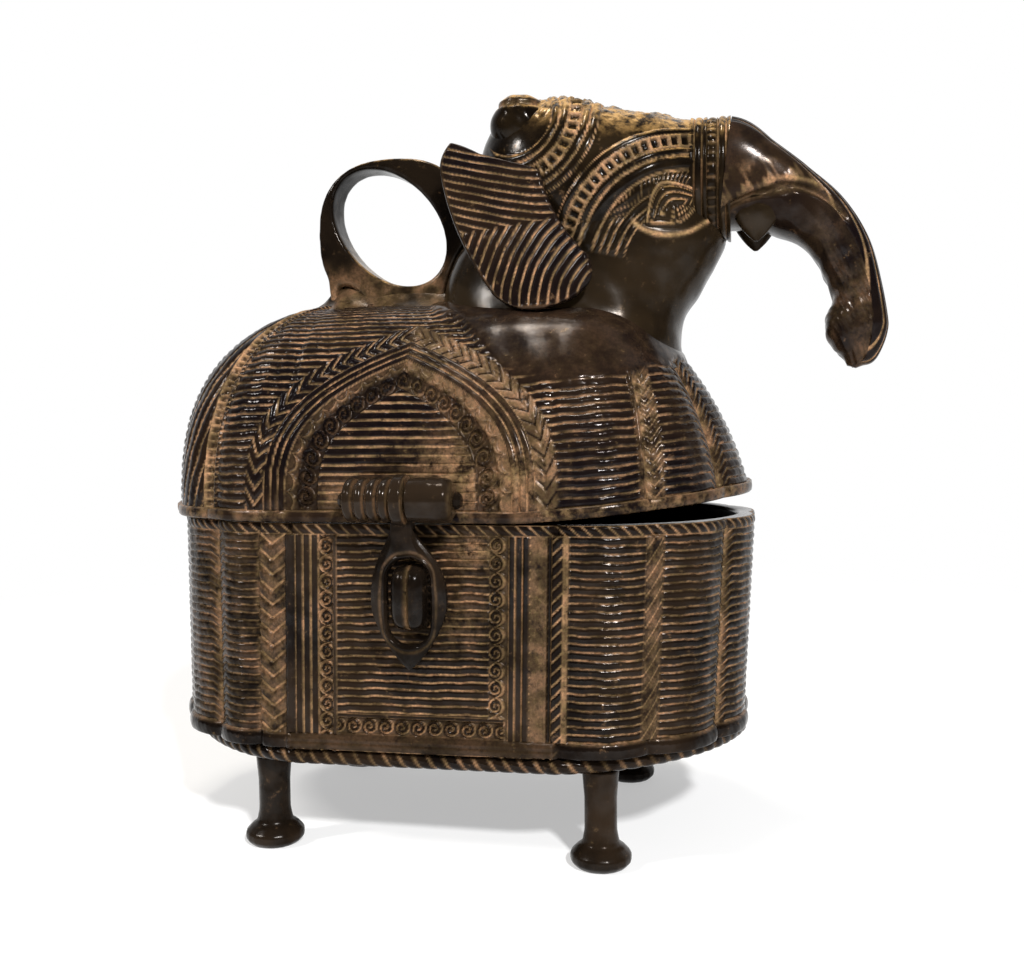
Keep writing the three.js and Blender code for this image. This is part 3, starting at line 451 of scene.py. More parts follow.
TUB_FINISH = bronze("tub_bronze", (0.0036, 0.0024, 0.0020), (0.013, 0.0078, 0.0046))
LID_FINISH = bronze("lid_bronze", (0.0034, 0.0023, 0.0027), (0.012, 0.0070, 0.0044))
NECK_FINISH = bronze("neck_bronze", (0.0042, 0.0028, 0.0016), (0.016, 0.0102, 0.0052), 0.15, spots=0.14)
HEAD_FINISH = bronze("head_bronze", (0.0032, 0.0021, 0.0014), (0.016, 0.0100, 0.0046), gilt_and_top_light=0.95)
HARDWARE_FINISH = bronze("hardware_bronze", (0.0040, 0.0028, 0.0020), (0.016, 0.0102, 0.0062), spots=0.1)
LEG_FINISH = bronze("leg_bronze", (0.0060, 0.0040, 0.0026), (0.019, 0.0117, 0.0068), 0.17, spots=0.15)
RING_LOOKS = {"gilt_and_top_light": 0.6, "spots": 0.12, "foot": (0.1195, 0.1300)}
HANDLE_FINISH = bronze("handle_bronze", (0.0026, 0.0018, 0.0015), (0.0085, 0.0056, 0.0034), **RING_LOOKS)
INSIDE_FINISH = bronze("inside_bronze", (0.010, 0.007, 0.005), (0.025, 0.016, 0.010), 0.45, spots=0.5)


# Plan of the box. s is the way round the outside from the middle of the front wall, and negative to
# the left; the ends run on to the back, so both walls use the same functions.
def plan_grid(part, count):
    """Stations of one part of the plan: foot on the middle line, direction out, and s. The long walls
    are straight, and on an end, a half circle, out is (sine, minus cosine) of the turn."""
    if part in ("front", "back"):
        side = -1 if part == "front" else 1
        x = np.linspace(-STRAIGHT, STRAIGHT, count)
        return x, grid(0 * x, side), x
    sign = 1 if part == "right" else -1
    turn = np.linspace(0, math.pi, count)
    foot = np.full(count, sign * STRAIGHT)
    out = grid(sign * np.sin(turn), -np.cos(turn))
    return foot, out, sign * (STRAIGHT + END_RADIUS * np.minimum(turn, math.pi - turn))


def crest(s, left_band=True, soft=0.0):
    """1 on the crest of a lobe, 0 in a groove: power 0.7 of a half sine wave for each lobe. On the tub a
    narrow band takes the first part of the front left lobe. soft flattens the half lobes beside the long
    walls."""
    past = np.maximum(np.abs(s) - STRAIGHT, 0)
    round_end = np.abs(np.sin(math.pi * past / LOBE_ARC)) ** 0.7
    if left_band:
        share = past / LEFT_BAND
        rest = np.clip((past - LEFT_BAND) / (LOBE_ARC - LEFT_BAND), 0, 1)
        band = 0.45 + 0.25 * np.sin(math.pi * np.clip(share, 0, 1))
        band = band * (1 - step(past, LEFT_BAND - 1, LEFT_BAND))
        joined = np.where(share < 1, band, np.abs(np.sin(math.pi * rest)) ** 0.7)
        round_end = np.where((s < 0) & (past < LOBE_ARC), joined, round_end)
    value = np.where(np.abs(s) < STRAIGHT, 1 - near(np.abs(s), STRAIGHT, 1.1), round_end)
    return 1 - (1 - value) * (1 - soft * (1 - step(past, 0, LOBE_ARC / 2)))


def tub_reach(up):
    """Reach of the bare wall at a height above the underside: it grows evenly by the draft up to the rim,
    and the roll at its foot adds the root of a half sine wave."""
    foot = END_RADIUS - TUB_DRAFT
    roll = FLARE * np.sqrt(np.clip(np.sin(math.pi * np.clip((up - SLAB + 0.5) / 3.7, 0, 1)), 0, 1))
    return foot + TUB_DRAFT * np.clip((up - FLARE_TOP) / (TUB_HEIGHT - FLARE_TOP), 0, 1) + roll


def tub_point(foot, out, reach, up):
    """A point at reach along out from foot. The tub leans along X and its underside slants along X, and
    both faults fade out evenly towards the rim."""
    share = up / TUB_HEIGHT
    x = foot + out[:, 0] * reach
    low = LEG_HEIGHT + BASE_SLANT * x / BOX_LENGTH
    x = x + TUB_SHIFT - TUB_LEAN * (1 - share)
    return grid(x, out[:, 1] * reach, low + (RIM_Z - low) * share)


def base_reach(out):
    """Reach of the tub's plain foot: the wall's, less the rope, and less again by twice x times y of out."""
    inset = ROPE_INSET + ROPE_THICK + CORNER_INSET * np.abs(2 * out[:, 0] * out[:, 1])
    return END_RADIUS - TUB_DRAFT - inset


def lobe_gap(s, place, half):
    """Nearness to a groove: 1 in it, falling evenly to 0 at half away."""
    return np.clip(1 - np.abs(np.abs(s) - place) / half, 0, 1)


def tub_relief(s, up):
    """What the wax threads, ropes and coils add to the tub's wall: threads of the height, bent in the
    grooves, less the lobes' depth, and over them bands of s and bands of the height."""
    lobe, at_end = crest(s), np.abs(s) > STRAIGHT
    first, second, third = GROOVES
    bend = lobe_gap(s, first, 2.6) * (s < 0) + lobe_gap(s, second, 2.4) + lobe_gap(s, third, 2.6)
    laid = up - FLARE_TOP + 1.5 * bend + 0.26 * wander(s, up, 1.0) + 0.08 * wander(s * 4, up * 3, 4.0)
    height, clay = threads(laid / THREAD)
    bare = np.clip(0.75 + 0.45 * wander(s * 0.7, up * 0.5, 8.0), 0.35, 1)
    clay = clay * np.where(at_end, 1 - 0.55 * lobe**2 * bare, 1) * np.where(s < -STRAIGHT, 0.75, 1)
    work = Relief(height - LOBE_DEPTH * (1 - lobe), np.maximum(clay, 0.6 * (1 - step(lobe, 0.1, 0.35))))
    work.dust = 0.5 * (1 - step(lobe, 0.1, 0.5)) * at_end + 0.08 * (s < -STRAIGHT)
    # Ropes in the grooves of the right end, and a feather in the left one beside the panel.
    for place, half, pitch, lean, side in ((first, 1.9, 3.2, -1.5, 1), (third, 1.4, 3.0, 1.2, -1)):
        mask, across = between(s * side, place - half, place + half)
        work.lay(mask, rope(up, across * side, half, pitch, lean), 0.75, 0.3)
    strokes = up + 0.4 * wander(up, s, 3.0)
    work.band(s, -35.1, -28.5, lambda across: feather(strokes, across, 3.3, 3.05, 0.75, 0.75), 0.55, 0.3)
    # Left side of the panel's frame: a cord, three threads, and coils with a scalloped line.
    work.band(s, -28.6, -26.4, lambda across: (0.9 * rounded(across) - 0.6, 0))
    work.band(s, -26.3, -21.1, threads((s + 26.3) / 1.72, 0.65))
    frame_coils(work, s, up + 1.2, (-21.1, -18.1), (-19.5, 0.95, 0.75), (-18.9, -1, 2.1))
    work.band(s, -18.1, -17.2, lambda across: (0.5 * rounded(across) - 0.3, 0.5 * across**2))
    # Right side: coils, threads, a dusty strip between raised edges, a gap, and a rope with soil past it.
    frame_coils(work, s, up + 0.6, (14.6, 18.4), (16.0, 1.0, 0.6), (15.6, 1, 2.0))
    work.band(s, 18.4, 22.7, threads((s - 18.4) / 1.43, 0.7))
    strip = step(np.abs(between(s, 22.9, 26.2)[1]), 0.5, 0.75)
    strip = 0.3 * strip - 0.6 + 0.12 * wander(s * 9, up * 8, 2.0)
    work.band(s, 22.9, 26.2, (strip, 0.35), 0, 0.38)
    work.band(s, 26.2, 27.0, (-1.0, 0))
    work.band(s, 29.5, 30.4, (-0.5, 0.7), 0, 0.4)
    mask, across = between(s, 27.0, 29.5)
    height, clay = rope(up, across, 1.25, 2.4, -1.0, 1.0)
    work.lay(mask, (height, np.clip(2.4 * clay, 0, 0.95)), -0.25)
    # Foot of the panel: a row of coils over two plain rolls. The roll at the foot of the lobes.
    panel = step(s, -17.3, -17.0) * (1 - step(s, 17.5, 18.0))
    work.band(up, 6.9, 10.5, coils(s, up - 8.7, 3.45, 1.0, 0.85), within=panel)
    work.band(up, 10.5, 11.3, threads((up - 10.5) / 0.8, 0.4), within=panel)
    front = step(s, -29, -27.4) * (1 - step(s, 27.4, 29))
    rolls = threads((up - SLAB) / 1.65, 0.45)[0]
    work.band(up, SLAB + 0.1, 6.9, (rolls, 0.1), FLARE * 0.25, within=front)
    mask, across = between(up, SLAB - 1, FLARE_TOP - 0.1)
    work.lay(mask * (1 - front), (-LOBE_DEPTH * (1 - lobe), 0.25 * step(across, 0.7, 1)))
    # Rope under the rim.
    height, clay = rope(s, np.clip((up - TUB_HEIGHT + 1.05) / 1.05, -1, 1), 1.05, 2.6, 1.1, 0.6)
    work.band(up, TUB_HEIGHT - 2.2, TUB_HEIGHT + 1, (height - LOBE_DEPTH * 0.75 * (1 - lobe), clay))
    soiled = 0.7 * patch(s, up, 12, 45, 5, 3) + 0.2 * patch(s, up, 8, 32, 8, 6)
    work.dust += (np.abs(s) < 17) * soiled
    work.height += 0.07 * wander(s * 5, up * 5, 6.0)
    return work


def frame_coils(work, s, up, limits, coil, line):
    """A row of coils up the panel's frame, with a scalloped line over it. limits are the row's edges,
    coil is (middle, strand, relief) and line is (foot, side to which it bulges, bulge)."""
    middle, strand, relief = coil
    foot, side, bulge = line
    work.band(s, *limits, coils(up, s - middle, FRAME_COIL, strand, relief))
    height, clay = scallops(up + FRAME_COIL / 2, side * (s - foot), FRAME_COIL, bulge)
    work.band(s, *limits, (height + 0.15, clay), within=step(height, -0.5, -0.2))


def tub_wall(part, columns):
    """One part of the tub's wall as a closed body. Each row is the plan at one height: up the outside
    with its relief, over the rim, and down a plain back."""
    foot, out, s = plan_grid(part, columns)
    up = np.linspace(SLAB, TUB_HEIGHT, TUB_ROWS)
    work = tub_relief(*np.meshgrid(s, up))
    outside = [tub_point(foot, out, tub_reach(z) + height, z) for z, height in zip(up, work.height)]
    back = [
        (END_RADIUS - 0.9 - LOBE_DEPTH * 0.75 * (1 - crest(s)), TUB_HEIGHT),
        (INNER + 0.6, TUB_HEIGHT),
        (INNER + 0.1, TUB_HEIGHT - 0.5),
        (INNER + 0.1, TUB_HEIGHT - 4),
        (INNER + 1.3, TUB_HEIGHT - 5),
        (INNER + 1.3 - TUB_DRAFT, SLAB + 1),
        (INNER - TUB_DRAFT + 1.2, SLAB),
    ]
    inside = [tub_point(foot, out, reach, z) for reach, z in back]
    clay, dust = (np.pad(values, ((0, len(back)), (0, 0))) for values in (work.clay, work.dust))
    wall = (f"tub_{part}", outside + inside, "tub", "bronze_tub", TUB_FINISH)
    piece(*wall, loops=(True, False), clay=clay, dust=dust)


for part, columns in (("front", 225), ("back", 225), ("left", 340), ("right", 340)):
    tub_wall(part, columns)


def full_plan(count_end=48, count_side=8):
    """Stations round the whole plan, anticlockwise: two half circles and two straight sides."""
    turn = np.linspace(-math.pi / 2, math.pi / 2, count_end)
    side = np.linspace(STRAIGHT, -STRAIGHT, count_side)[1:-1]
    foot = np.concatenate([np.full(count_end, STRAIGHT), side, np.full(count_end, -STRAIGHT), side[::-1]])
    ahead = np.full(len(side), math.pi / 2)
    angle = np.concatenate([turn, ahead, turn + math.pi, -ahead])
    return foot, grid(np.cos(angle), np.sin(angle))


foot, out = full_plan()
base, inside = base_reach(out), INNER - TUB_DRAFT
profile = [(0, 0), (base, 0), (base, SLAB), (END_RADIUS - 3.3, SLAB + 0.05)]
profile += [(END_RADIUS - 3.2, TUB_HEIGHT - 2), (INNER + 0.3, TUB_HEIGHT - 0.6), (INNER, TUB_HEIGHT - 0.9)]
profile += [(inside + 0.06, 7), (inside, 6), (inside - 0.9, 4.0), (inside - 3, 3), (0, 3)]
rings = [tub_point(foot, out, reach, up) for reach, up in profile]
core = piece("tub_inside", rings, "tub", "bronze_tub", INSIDE_FINISH, weld=True, smooth=40)
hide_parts("tub_shell")

# Rope moulding round the foot: strands lean across a round section.
foot, out = full_plan(370, 190)
base = base_reach(out)
spine = tub_point(foot, out, base, 0)
lap = walked(np.linalg.norm(np.diff(spine[:, :2], axis=0), axis=1))
lap_length = lap[-1] + np.linalg.norm(spine[0, :2] - spine[-1, :2])
strands = round(lap_length / ROPE_STRAND)
radius = ROPE_THICK / 2
rings, clays = [], []
for turn in turns(ROPE_ROWS):
    f = saw(lap * strands / lap_length + 2 * turn / TURN)
    r = radius * (0.78 + 0.24 * rounded(f, 2.2))
    rings.append(tub_point(foot, out, base + 0.3 + radius + r * math.cos(turn), radius + r * math.sin(turn)))
    clays.append(0.7 * step(f, 0.66, 0.96))
moulding = ("base_rope_twisted", rings, "tub", "bronze_tub", TUB_FINISH, "base_rope")
piece(*moulding, loops=(True, True), clay=clays)


# Lid.
def lift_at(x):
    """Rise of the lid's rim towards the trunk: power 1.2 of the share of the way from its start."""
    return RIM_LIFT * np.maximum(0, (x - LIFT_START) / (BOX_LENGTH / 2 - LIFT_START)) ** 1.2


def dome_power(lean):
    """How full the dome's outline is towards lean, the X part of the direction out: a blend from the
    sides to an end by lean's power 1.5."""
    end = np.where(lean > 0, DOME_FRONT, DOME_BACK)
    return DOME_FULL + (end - DOME_FULL) * np.abs(lean) ** 1.5


def lid_point(foot, out, reach, z):
    """A point of the lid at reach along out from foot, with the lid's own shift along X."""
    return grid(LID_SHIFT + foot + out[:, 0] * reach, out[:, 1] * reach, z)


def dome_point(foot, out, rise, grow=0.0, widest=END_RADIUS):
    """The bare dome: the root of 1 less a power of rise, times the widest reach. The power makes it
    round towards the handle and a straight slope towards the trunk."""
    reach = (widest + grow) * rounded(rise, dome_power(out[:, 0]))
    lift = lift_at(foot + out[:, 0] * END_RADIUS)
    return lid_point(foot, out, reach, LID_Z + lift + (DOME_HEIGHT + grow - lift) * rise)


def arch_level(x, up):
    """How far a point lies outside the arch. Each arch of the family is d wider to each side and
    ARCH_GROWTH times d higher. It rises by power 0.31 of the way in from its side, which gives full
    shoulders and a low point. Solved for d by halving."""
    across = np.abs(x - ARCH_SHIFT)
    low, high = np.full(x.shape, -ARCH_HALF + 0.01), np.full(x.shape, 40.0)
    for _ in range(26):
        d = (low + high) / 2
        share = np.clip(1 - across / (ARCH_HALF + d), 0, 1)
        top = (ARCH_HEIGHT + ARCH_GROWTH * d) * share**0.31 + BAND
        outside = (up > top) | (across > ARCH_HALF + d)
        low = np.where(outside, d, low)
        high = np.where(outside, high, d)
    return (low + high) / 2


def arch_along(x, up):
    """Way along the arch from its middle: 27 mm for each radian of the direction to the point."""
    return 27.0 * np.arctan2(x - ARCH_SHIFT, np.maximum(up - 2, 1) * 0.8)


# Where the neck's foot ends on the dome: places along X, and heights there.
FOOT_EDGE = (
    [-6, -2.4, 3.8, 8.1, 11.6, 14.7, 17.5, 21.3, 25.3, 31, 37.4, 43.5, 47.1, 49.7, 54],
    [119, 114.5, 112, 108.8, 105.4, 102.2, 99.8, 99, 98.5, 98, 98.7, 100.4, 101.8, 103.3, 106],
)


def lid_relief(points, s, reach, v):
    """Threads, arches, ropes and coils on the dome: threads of v, the way up from the rim band, bent in
    the grooves, then bands of the distance from the first groove, and bands of the arch's level."""
    x, _, z = np.moveaxis(points, -1, 0)
    up = z - LID_Z
    turn = np.maximum(np.abs(s) - STRAIGHT, 0) / END_RADIUS
    lobe = crest(s, False, 0.75)
    sunk = LOBE_DEPTH * (1 - lobe) * np.clip(reach / END_RADIUS, 0, 1) ** 0.8
    left, right = s < 0, s > 0
    bend = np.zeros_like(v)
    for k, amount in ((2, 3.2), (3, 2.4)):
        bend = bend + amount * np.clip(1 - np.abs(turn - k * math.pi / LOBES) * reach / 3.6, 0, 1)
    laid = v + bend + 0.3 * wander(s, v, 2.0) + 0.09 * wander(s * 4, v * 3, 4.0)
    height, clay = threads(laid / LID_THREAD, 0.55)
    bare = np.clip(0.8 + 0.4 * wander(s * 0.6, v * 0.4, 8.0), 0.4, 1)
    clay = clay * np.where(turn > 0.05, 1 - (0.35 + 0.4 * right) * lobe**2 * bare, 1)
    work = Relief(height, clay)
    # Left end: long sparse lines, and a ladder and a rope in the first groove.
    gap = (turn - math.pi / LOBES) * reach
    height, clay = threads((gap + 0.32 * v + 0.4 * wander(v, gap, 4.0)) / 2.9, 0.4)
    sparse = (height, 0.8 * step(clay, 0.5, 0.9))
    work.band(gap, 2.2, 13.5, sparse, within=left * (turn < 2 * math.pi / LOBES), edge=0.3)
    work.band(gap, -1.9, 2.2, lambda across: ladder(v, across, 1.8, 0.7), -0.15, 0.15, left)
    work.band(gap, -3.0, -1.9, lambda across: rope(v, across, 0.5, 1.1, 0.0, 0.6), -0.5, 0, left)
    # Right end: a thin round cord and a feather in the first groove.
    work.band(gap, -1.7, -0.5, lambda across: (0.9 * rounded(across) - 0.4, 0), -0.25, 0, right)
    work.band(gap, -0.4, 3.6, lambda across: feather(v, across, 2.0, 2.4, 1.1, 0.6), 0.1, 0.35, right)
    work.height -= sunk
    work.clay = np.maximum(work.clay, 0.6 * (1 - step(lobe, 0.05, 0.3)))
    work.dust = np.maximum(work.dust, 0.7 * (1 - step(lobe, 0.1, 0.55)) * (turn > 0.05))
    # Arches on both long walls, from outside in: chevrons, threads, a strip with scallops, coils, field.
    wall = (turn < 0.9).astype(float)
    level = arch_level(x, up)
    along = arch_along(x, up) + 0.3 * wander(x, up, 5.0)
    past = x - ARCH_SHIFT
    far = step(past, -2, 2)
    mask, across = between(level, 0.5, 4.9, 0.2)
    height, clay = feather(along * np.sign(past + 1e-6), across, 2.3, 2.3, -0.9, 0.75)
    work.lay(mask * wall, (height, clay * (1 - far) + 0.5 * (1 - clay) * far), 0, 0.05 * far)
    work.band(level, -4.3, 0.5, threads((level + 4.3) / 1.6, 0.75), -0.25, 0.12 * far, wall, 0.1)
    work.band(level, -6.9, -4.3, (-0.4, 0.15 + 0.3 * far), 0, 0.4 * far, wall, 0.1)
    height, clay = scallops(along, -(level + 4.5), 3.5, 1.9, 0.4, 0.7)
    raised = wall * step(height, -0.6, -0.25)
    work.band(level, -6.9, -4.3, (height + 0.25, clay * 0.7), 0, 0.3 * far, raised, 0.1)
    height, clay = coils(along, level + 9.0, 4.3, 1.35, 1.15)
    work.band(level, -11.3, -6.9, (height, clay * (0.2 + 0.45 * far)), -0.35, 0.12 * far, wall, 0.2)
    field = wall * (1 - step(level, -11.6, -11.2))
    soiled = 0.8 * patch(x, up, 12, 9, 11, 7) + 0.5 * patch(x, up, -12, 5, 8, 3)
    work.lay(field, threads((v + 0.15 * wander(x, v, 7.0)) / LID_THREAD, 0.55), 0, soiled)
    work.dust = np.maximum(work.dust, 0.7 * patch(x, up, 20, 8, 6, 6) * (np.abs(s) < 40))
    # The neck's smooth foot spreads over the dome between the arches and the front lobes.
    edge = np.interp(x, *FOOT_EDGE) + 0.5 * wander(x * 3, up, 3.0)
    foot = step(z - edge, -0.8, 1.6) * step(x, -7, -3)
    swell = 0.25 + 1.1 * near(z, 112, 4.5) + 0.15 * wander(x, up, 9.0)
    work.lay(foot, (swell, 0.02), 0, 0.05)
    work.height += 0.08 * (1 - foot) * wander(s * 5, v * 5, 6.0)
    return work


def unit(vectors):
    """Vectors divided by their own lengths."""
    return vectors / (np.linalg.norm(vectors, axis=2, keepdims=True) + 1e-9)


def lid_wall(part, columns):
    """One part of the dome as a closed body. Its rows go round the rim band, up the dome with the relief
    along the surface's normal, and down a plain back."""
    foot, out, s = plan_grid(part, columns)
    # Rows stand at even steps along the dome's outline, from the top of the rim band to the crown.
    fine = np.linspace(0, math.pi / 2, 2000)
    reference = END_RADIUS * rounded(np.sin(fine), DOME_FULL)
    walk = walked(np.hypot(np.diff(reference), DOME_HEIGHT * np.diff(np.sin(fine))))
    begin = np.interp(BAND / DOME_HEIGHT, np.sin(fine), walk)
    rise = np.sin(np.interp(np.linspace(begin, walk[-1], LID_ROWS), walk, fine))
    rise[-1] = 1.0
    bare = np.stack([dome_point(foot, out, r) for r in rise])
    v = walked(np.linalg.norm(np.diff(bare, axis=0), axis=2))
    reach = np.hypot(bare[..., 0] - LID_SHIFT - foot, bare[..., 1])
    work = lid_relief(bare, np.broadcast_to(s, v.shape), reach, v)
    tangent = grid(-out[:, 1], out[:, 0], 0)[None]
    normal = np.cross(tangent, unit(np.gradient(bare, axis=0)))
    normal *= np.sign(np.sum(normal * grid(out[:, 0], out[:, 1], 0.3), axis=2, keepdims=True))
    normal[-1] = (0, 0, 1)
    fade = np.clip(reach / 3.0, 0, 1)[..., None]
    dome = bare + normal * (work.height[..., None] * fade - (1 - fade) * 0.3)
    band = END_RADIUS + BAND_PROUD - LOBE_DEPTH / 2 * (1 - crest(s, False, 0.75))
    lift = LID_Z + lift_at(foot + out[:, 0] * END_RADIUS)
    wavy = 0.12 * wander(s * 1.3, s, 6.0)
    rim = [(INNER + 1.6, 4), (INNER + 0.1, 3), (INNER + 0.1, 0.3), (INNER + 0.4, 0), (band - 0.4, 0)]
    rim += [(band - 0.05, 0.35), (band + wavy, 1.1), (band - 0.05 + wavy, BAND * 0.8)]
    rim += [(band - 0.5, BAND * 0.98)]
    rim = [lid_point(foot, out, r, lift + z) for r, z in rim]
    falls = np.sin(np.linspace(math.pi / 2, 0.16, 12))
    back = [dome_point(foot, out, r, -1.4, END_RADIUS - LOBE_DEPTH) for r in falls]
    around = ((len(rim), len(back)), (0, 0))
    clay, dust = np.pad(work.clay, around), np.pad(work.dust, around)
    clay[len(rim) - 1] = 0.6
    dust[4 : len(rim)] = 0.25 + 0.35 * wander(s, s * 0.7, 5.0)
    wall = (f"lid_{part}", rim + list(dome) + back, "lid", "bronze_lid", LID_FINISH)
    piece(*wall, loops=(True, False), weld=True, clay=clay, dust=dust)


for part, columns in (("front", 225), ("back", 225), ("left", 300), ("right", 300)):
    lid_wall(part, columns)

foot, out = full_plan()
rises = np.sin(np.linspace(0.04, math.pi / 2, 14))
falls = np.concatenate([rises[::-1], [0.0]])
hidden = [dome_point(foot, out, r, -1.5, END_RADIUS - LOBE_DEPTH) for r in rises]
plain = [dome_point(foot, out, r, -WALL, END_RADIUS - LOBE_DEPTH) for r in falls]
cavity = ("lid_inside", hidden + plain, "lid", "bronze_lid", INSIDE_FINISH)
core = piece(*cavity, loops=(True, True), weld=True, smooth=40)
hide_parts("lid_dome")


# Neck, head, bridle and trunk are rounded sections carried along a line.
def smooth_rows(stations, count):
    """Catmull-Rom values: between two stations a cubic through them, with slopes from their
    neighbours."""
    stations = np.array(stations, float)
    t = np.linspace(0, len(stations) - 1, count)
    i = np.clip(t.astype(int), 0, len(stations) - 2)
    f = (t - i)[:, None]
    before, after = 2 * stations[:1] - stations[1:2], 2 * stations[-1:] - stations[-2:-1]
    padded = np.concatenate([before, stations, after])
    p0, p1, p2, p3 = (padded[i + k] for k in range(4))
    curve = 2 * p1 + (p2 - p0) * f + (2 * p0 - 5 * p1 + 4 * p2 - p3) * f**2
    return 0.5 * (curve + (3 * p1 - p0 - 3 * p2 + p3) * f**3)


def section_grid(rows, sides, relief, squareness=2.3, heading=None, level=None):
    """Points of a carried section. Rows are x, z, half height and half width. The section is half its
    height times a blunt sine upwards and half its width times a blunt cosine across. relief(points, turn)
    gives (height, clay) along the section's own normal, or along Y where level(y, z) is 1."""
    x, z, high, wide = rows.T
    angle = np.unwrap(np.arctan2(np.gradient(z), np.gradient(x)))
    if heading is not None:
        angle = np.full(len(x), heading)
    turn = turns(sides)
    up = grid(-np.sin(angle), 0, np.cos(angle))[:, None]
    rise = (high[:, None] * blunt(np.sin(turn), 2 / squareness))[..., None]
    side = (wide[:, None] * blunt(np.cos(turn), 2 / squareness))[..., None]
    away = up * rise + np.array([0, 1, 0]) * side
    points = grid(x, 0, z)[:, None] + away
    around = np.roll(points, -1, 1) - np.roll(points, 1, 1)
    normal = unit(np.cross(around, np.gradient(points, axis=0)))
    normal *= np.sign(np.sum(normal * away, axis=2, keepdims=True) + 1e-9)
    if level:
        share = level(np.abs(points[..., 1]), points[..., 2])[..., None]
        normal = normal * (1 - share) + np.sign(points[..., 1:2]) * np.array([0, 1, 0]) * share
    height, clay = relief(points, np.broadcast_to(turn, points.shape[:2]))
    return points + normal * height[..., None], clay


# Stations from the root of each form to its end. Neck: height, place along X, half depth, half width.
# Head: place along X, height, half height, half width. Trunk: reach, drop, and how far it has thinned in
# height and in width.
NECK_FORM = [
    (0, -0.015, 0.505, 0.88),
    (0.1, -0.02, 0.497, 0.735),
    (0.2, -0.025, 0.493, 0.63),
    (0.34, -0.02, 0.5, 0.54),
    (0.48, 0.016, 0.525, 0.495),
    (0.64, 0.058, 0.543, 0.47),
    (0.8, 0.112, 0.534, 0.455),
    (1, 0.14, 0.44, 0.41),
]
HEAD_FORM = [
    (0, 0.085, 0.11, 0.14),
    (0.05, 0.085, 0.25, 0.265),
    (0.14, 0.07, 0.387, 0.38),
    (0.26, 0.045, 0.475, 0.455),
    (0.43, 0.006, 0.512, 0.497),
    (0.62, -0.025, 0.474, 0.497),
    (0.81, -0.012, 0.416, 0.447),
    (0.93, 0, 0.365, 0.37),
    (1, 0.01, 0.345, 0.316),
]
TRUNK_FORM = [
    (-0.17, 0, 0, 0),
    (0, 0, 0, 0),
    (0.17, 0.043, 0.44, 0.1),
    (0.363, 0.12, 0.72, 0.32),
    (0.568, 0.23, 0.94, 0.62),
    (0.715, 0.393, 1.04, 0.82),
    (0.803, 0.6, 1.13, 0.98),
    (0.803, 0.77, 0.95, 1),
    (0.803, 0.9, 1.22, 1.25),
    (0.775, 0.975, 1.75, 1.65),
]


def dome_top(x, y):
    """Height of the bare dome over a place in the plan: dome_point's root solved for rise."""
    foot = np.clip(x - LID_SHIFT, -STRAIGHT, STRAIGHT)
    gap = np.hypot(x - LID_SHIFT - foot, y)
    lean = (x - LID_SHIFT - foot) / np.maximum(gap, 1e-6)
    lift = lift_at(foot + lean * END_RADIUS)
    share = (1 - np.clip(gap / END_RADIUS, 0, 1) ** 2) ** (1 / dome_power(lean))
    return LID_Z + lift + (DOME_HEIGHT - lift) * share


# Centres of the bands on the face and round the skull's knobs, and the eye: places along X, and heights.
FACE = (53.6, 121.6)
NAPE = (15.9, 155.3)
EYE = (49.5, 135.2)
EYE_LEAN = math.radians(31)
# Limits of the bands, in the order in which they are laid, and what each band shows.
FACE_EDGES = (30.8, 29.0, 26.2, 24.5, 21.3, 18.2, 16.3, 14.6)
FACE_KINDS = ("cord", "ladder", "cord", "gloss", "hatch", "cord", "cord")
NAPE_EDGES = (8.0, 9.8, 11.7, 14.4, 16.2, 18.2)
NAPE_KINDS = ("cord", "cord", "ladder", "cord", "cord")
CREST_LUMPS = ((23.6, 0), (29.4, 1), (36, 2.5), (44.6, 0.5), (47.5, 1.5))


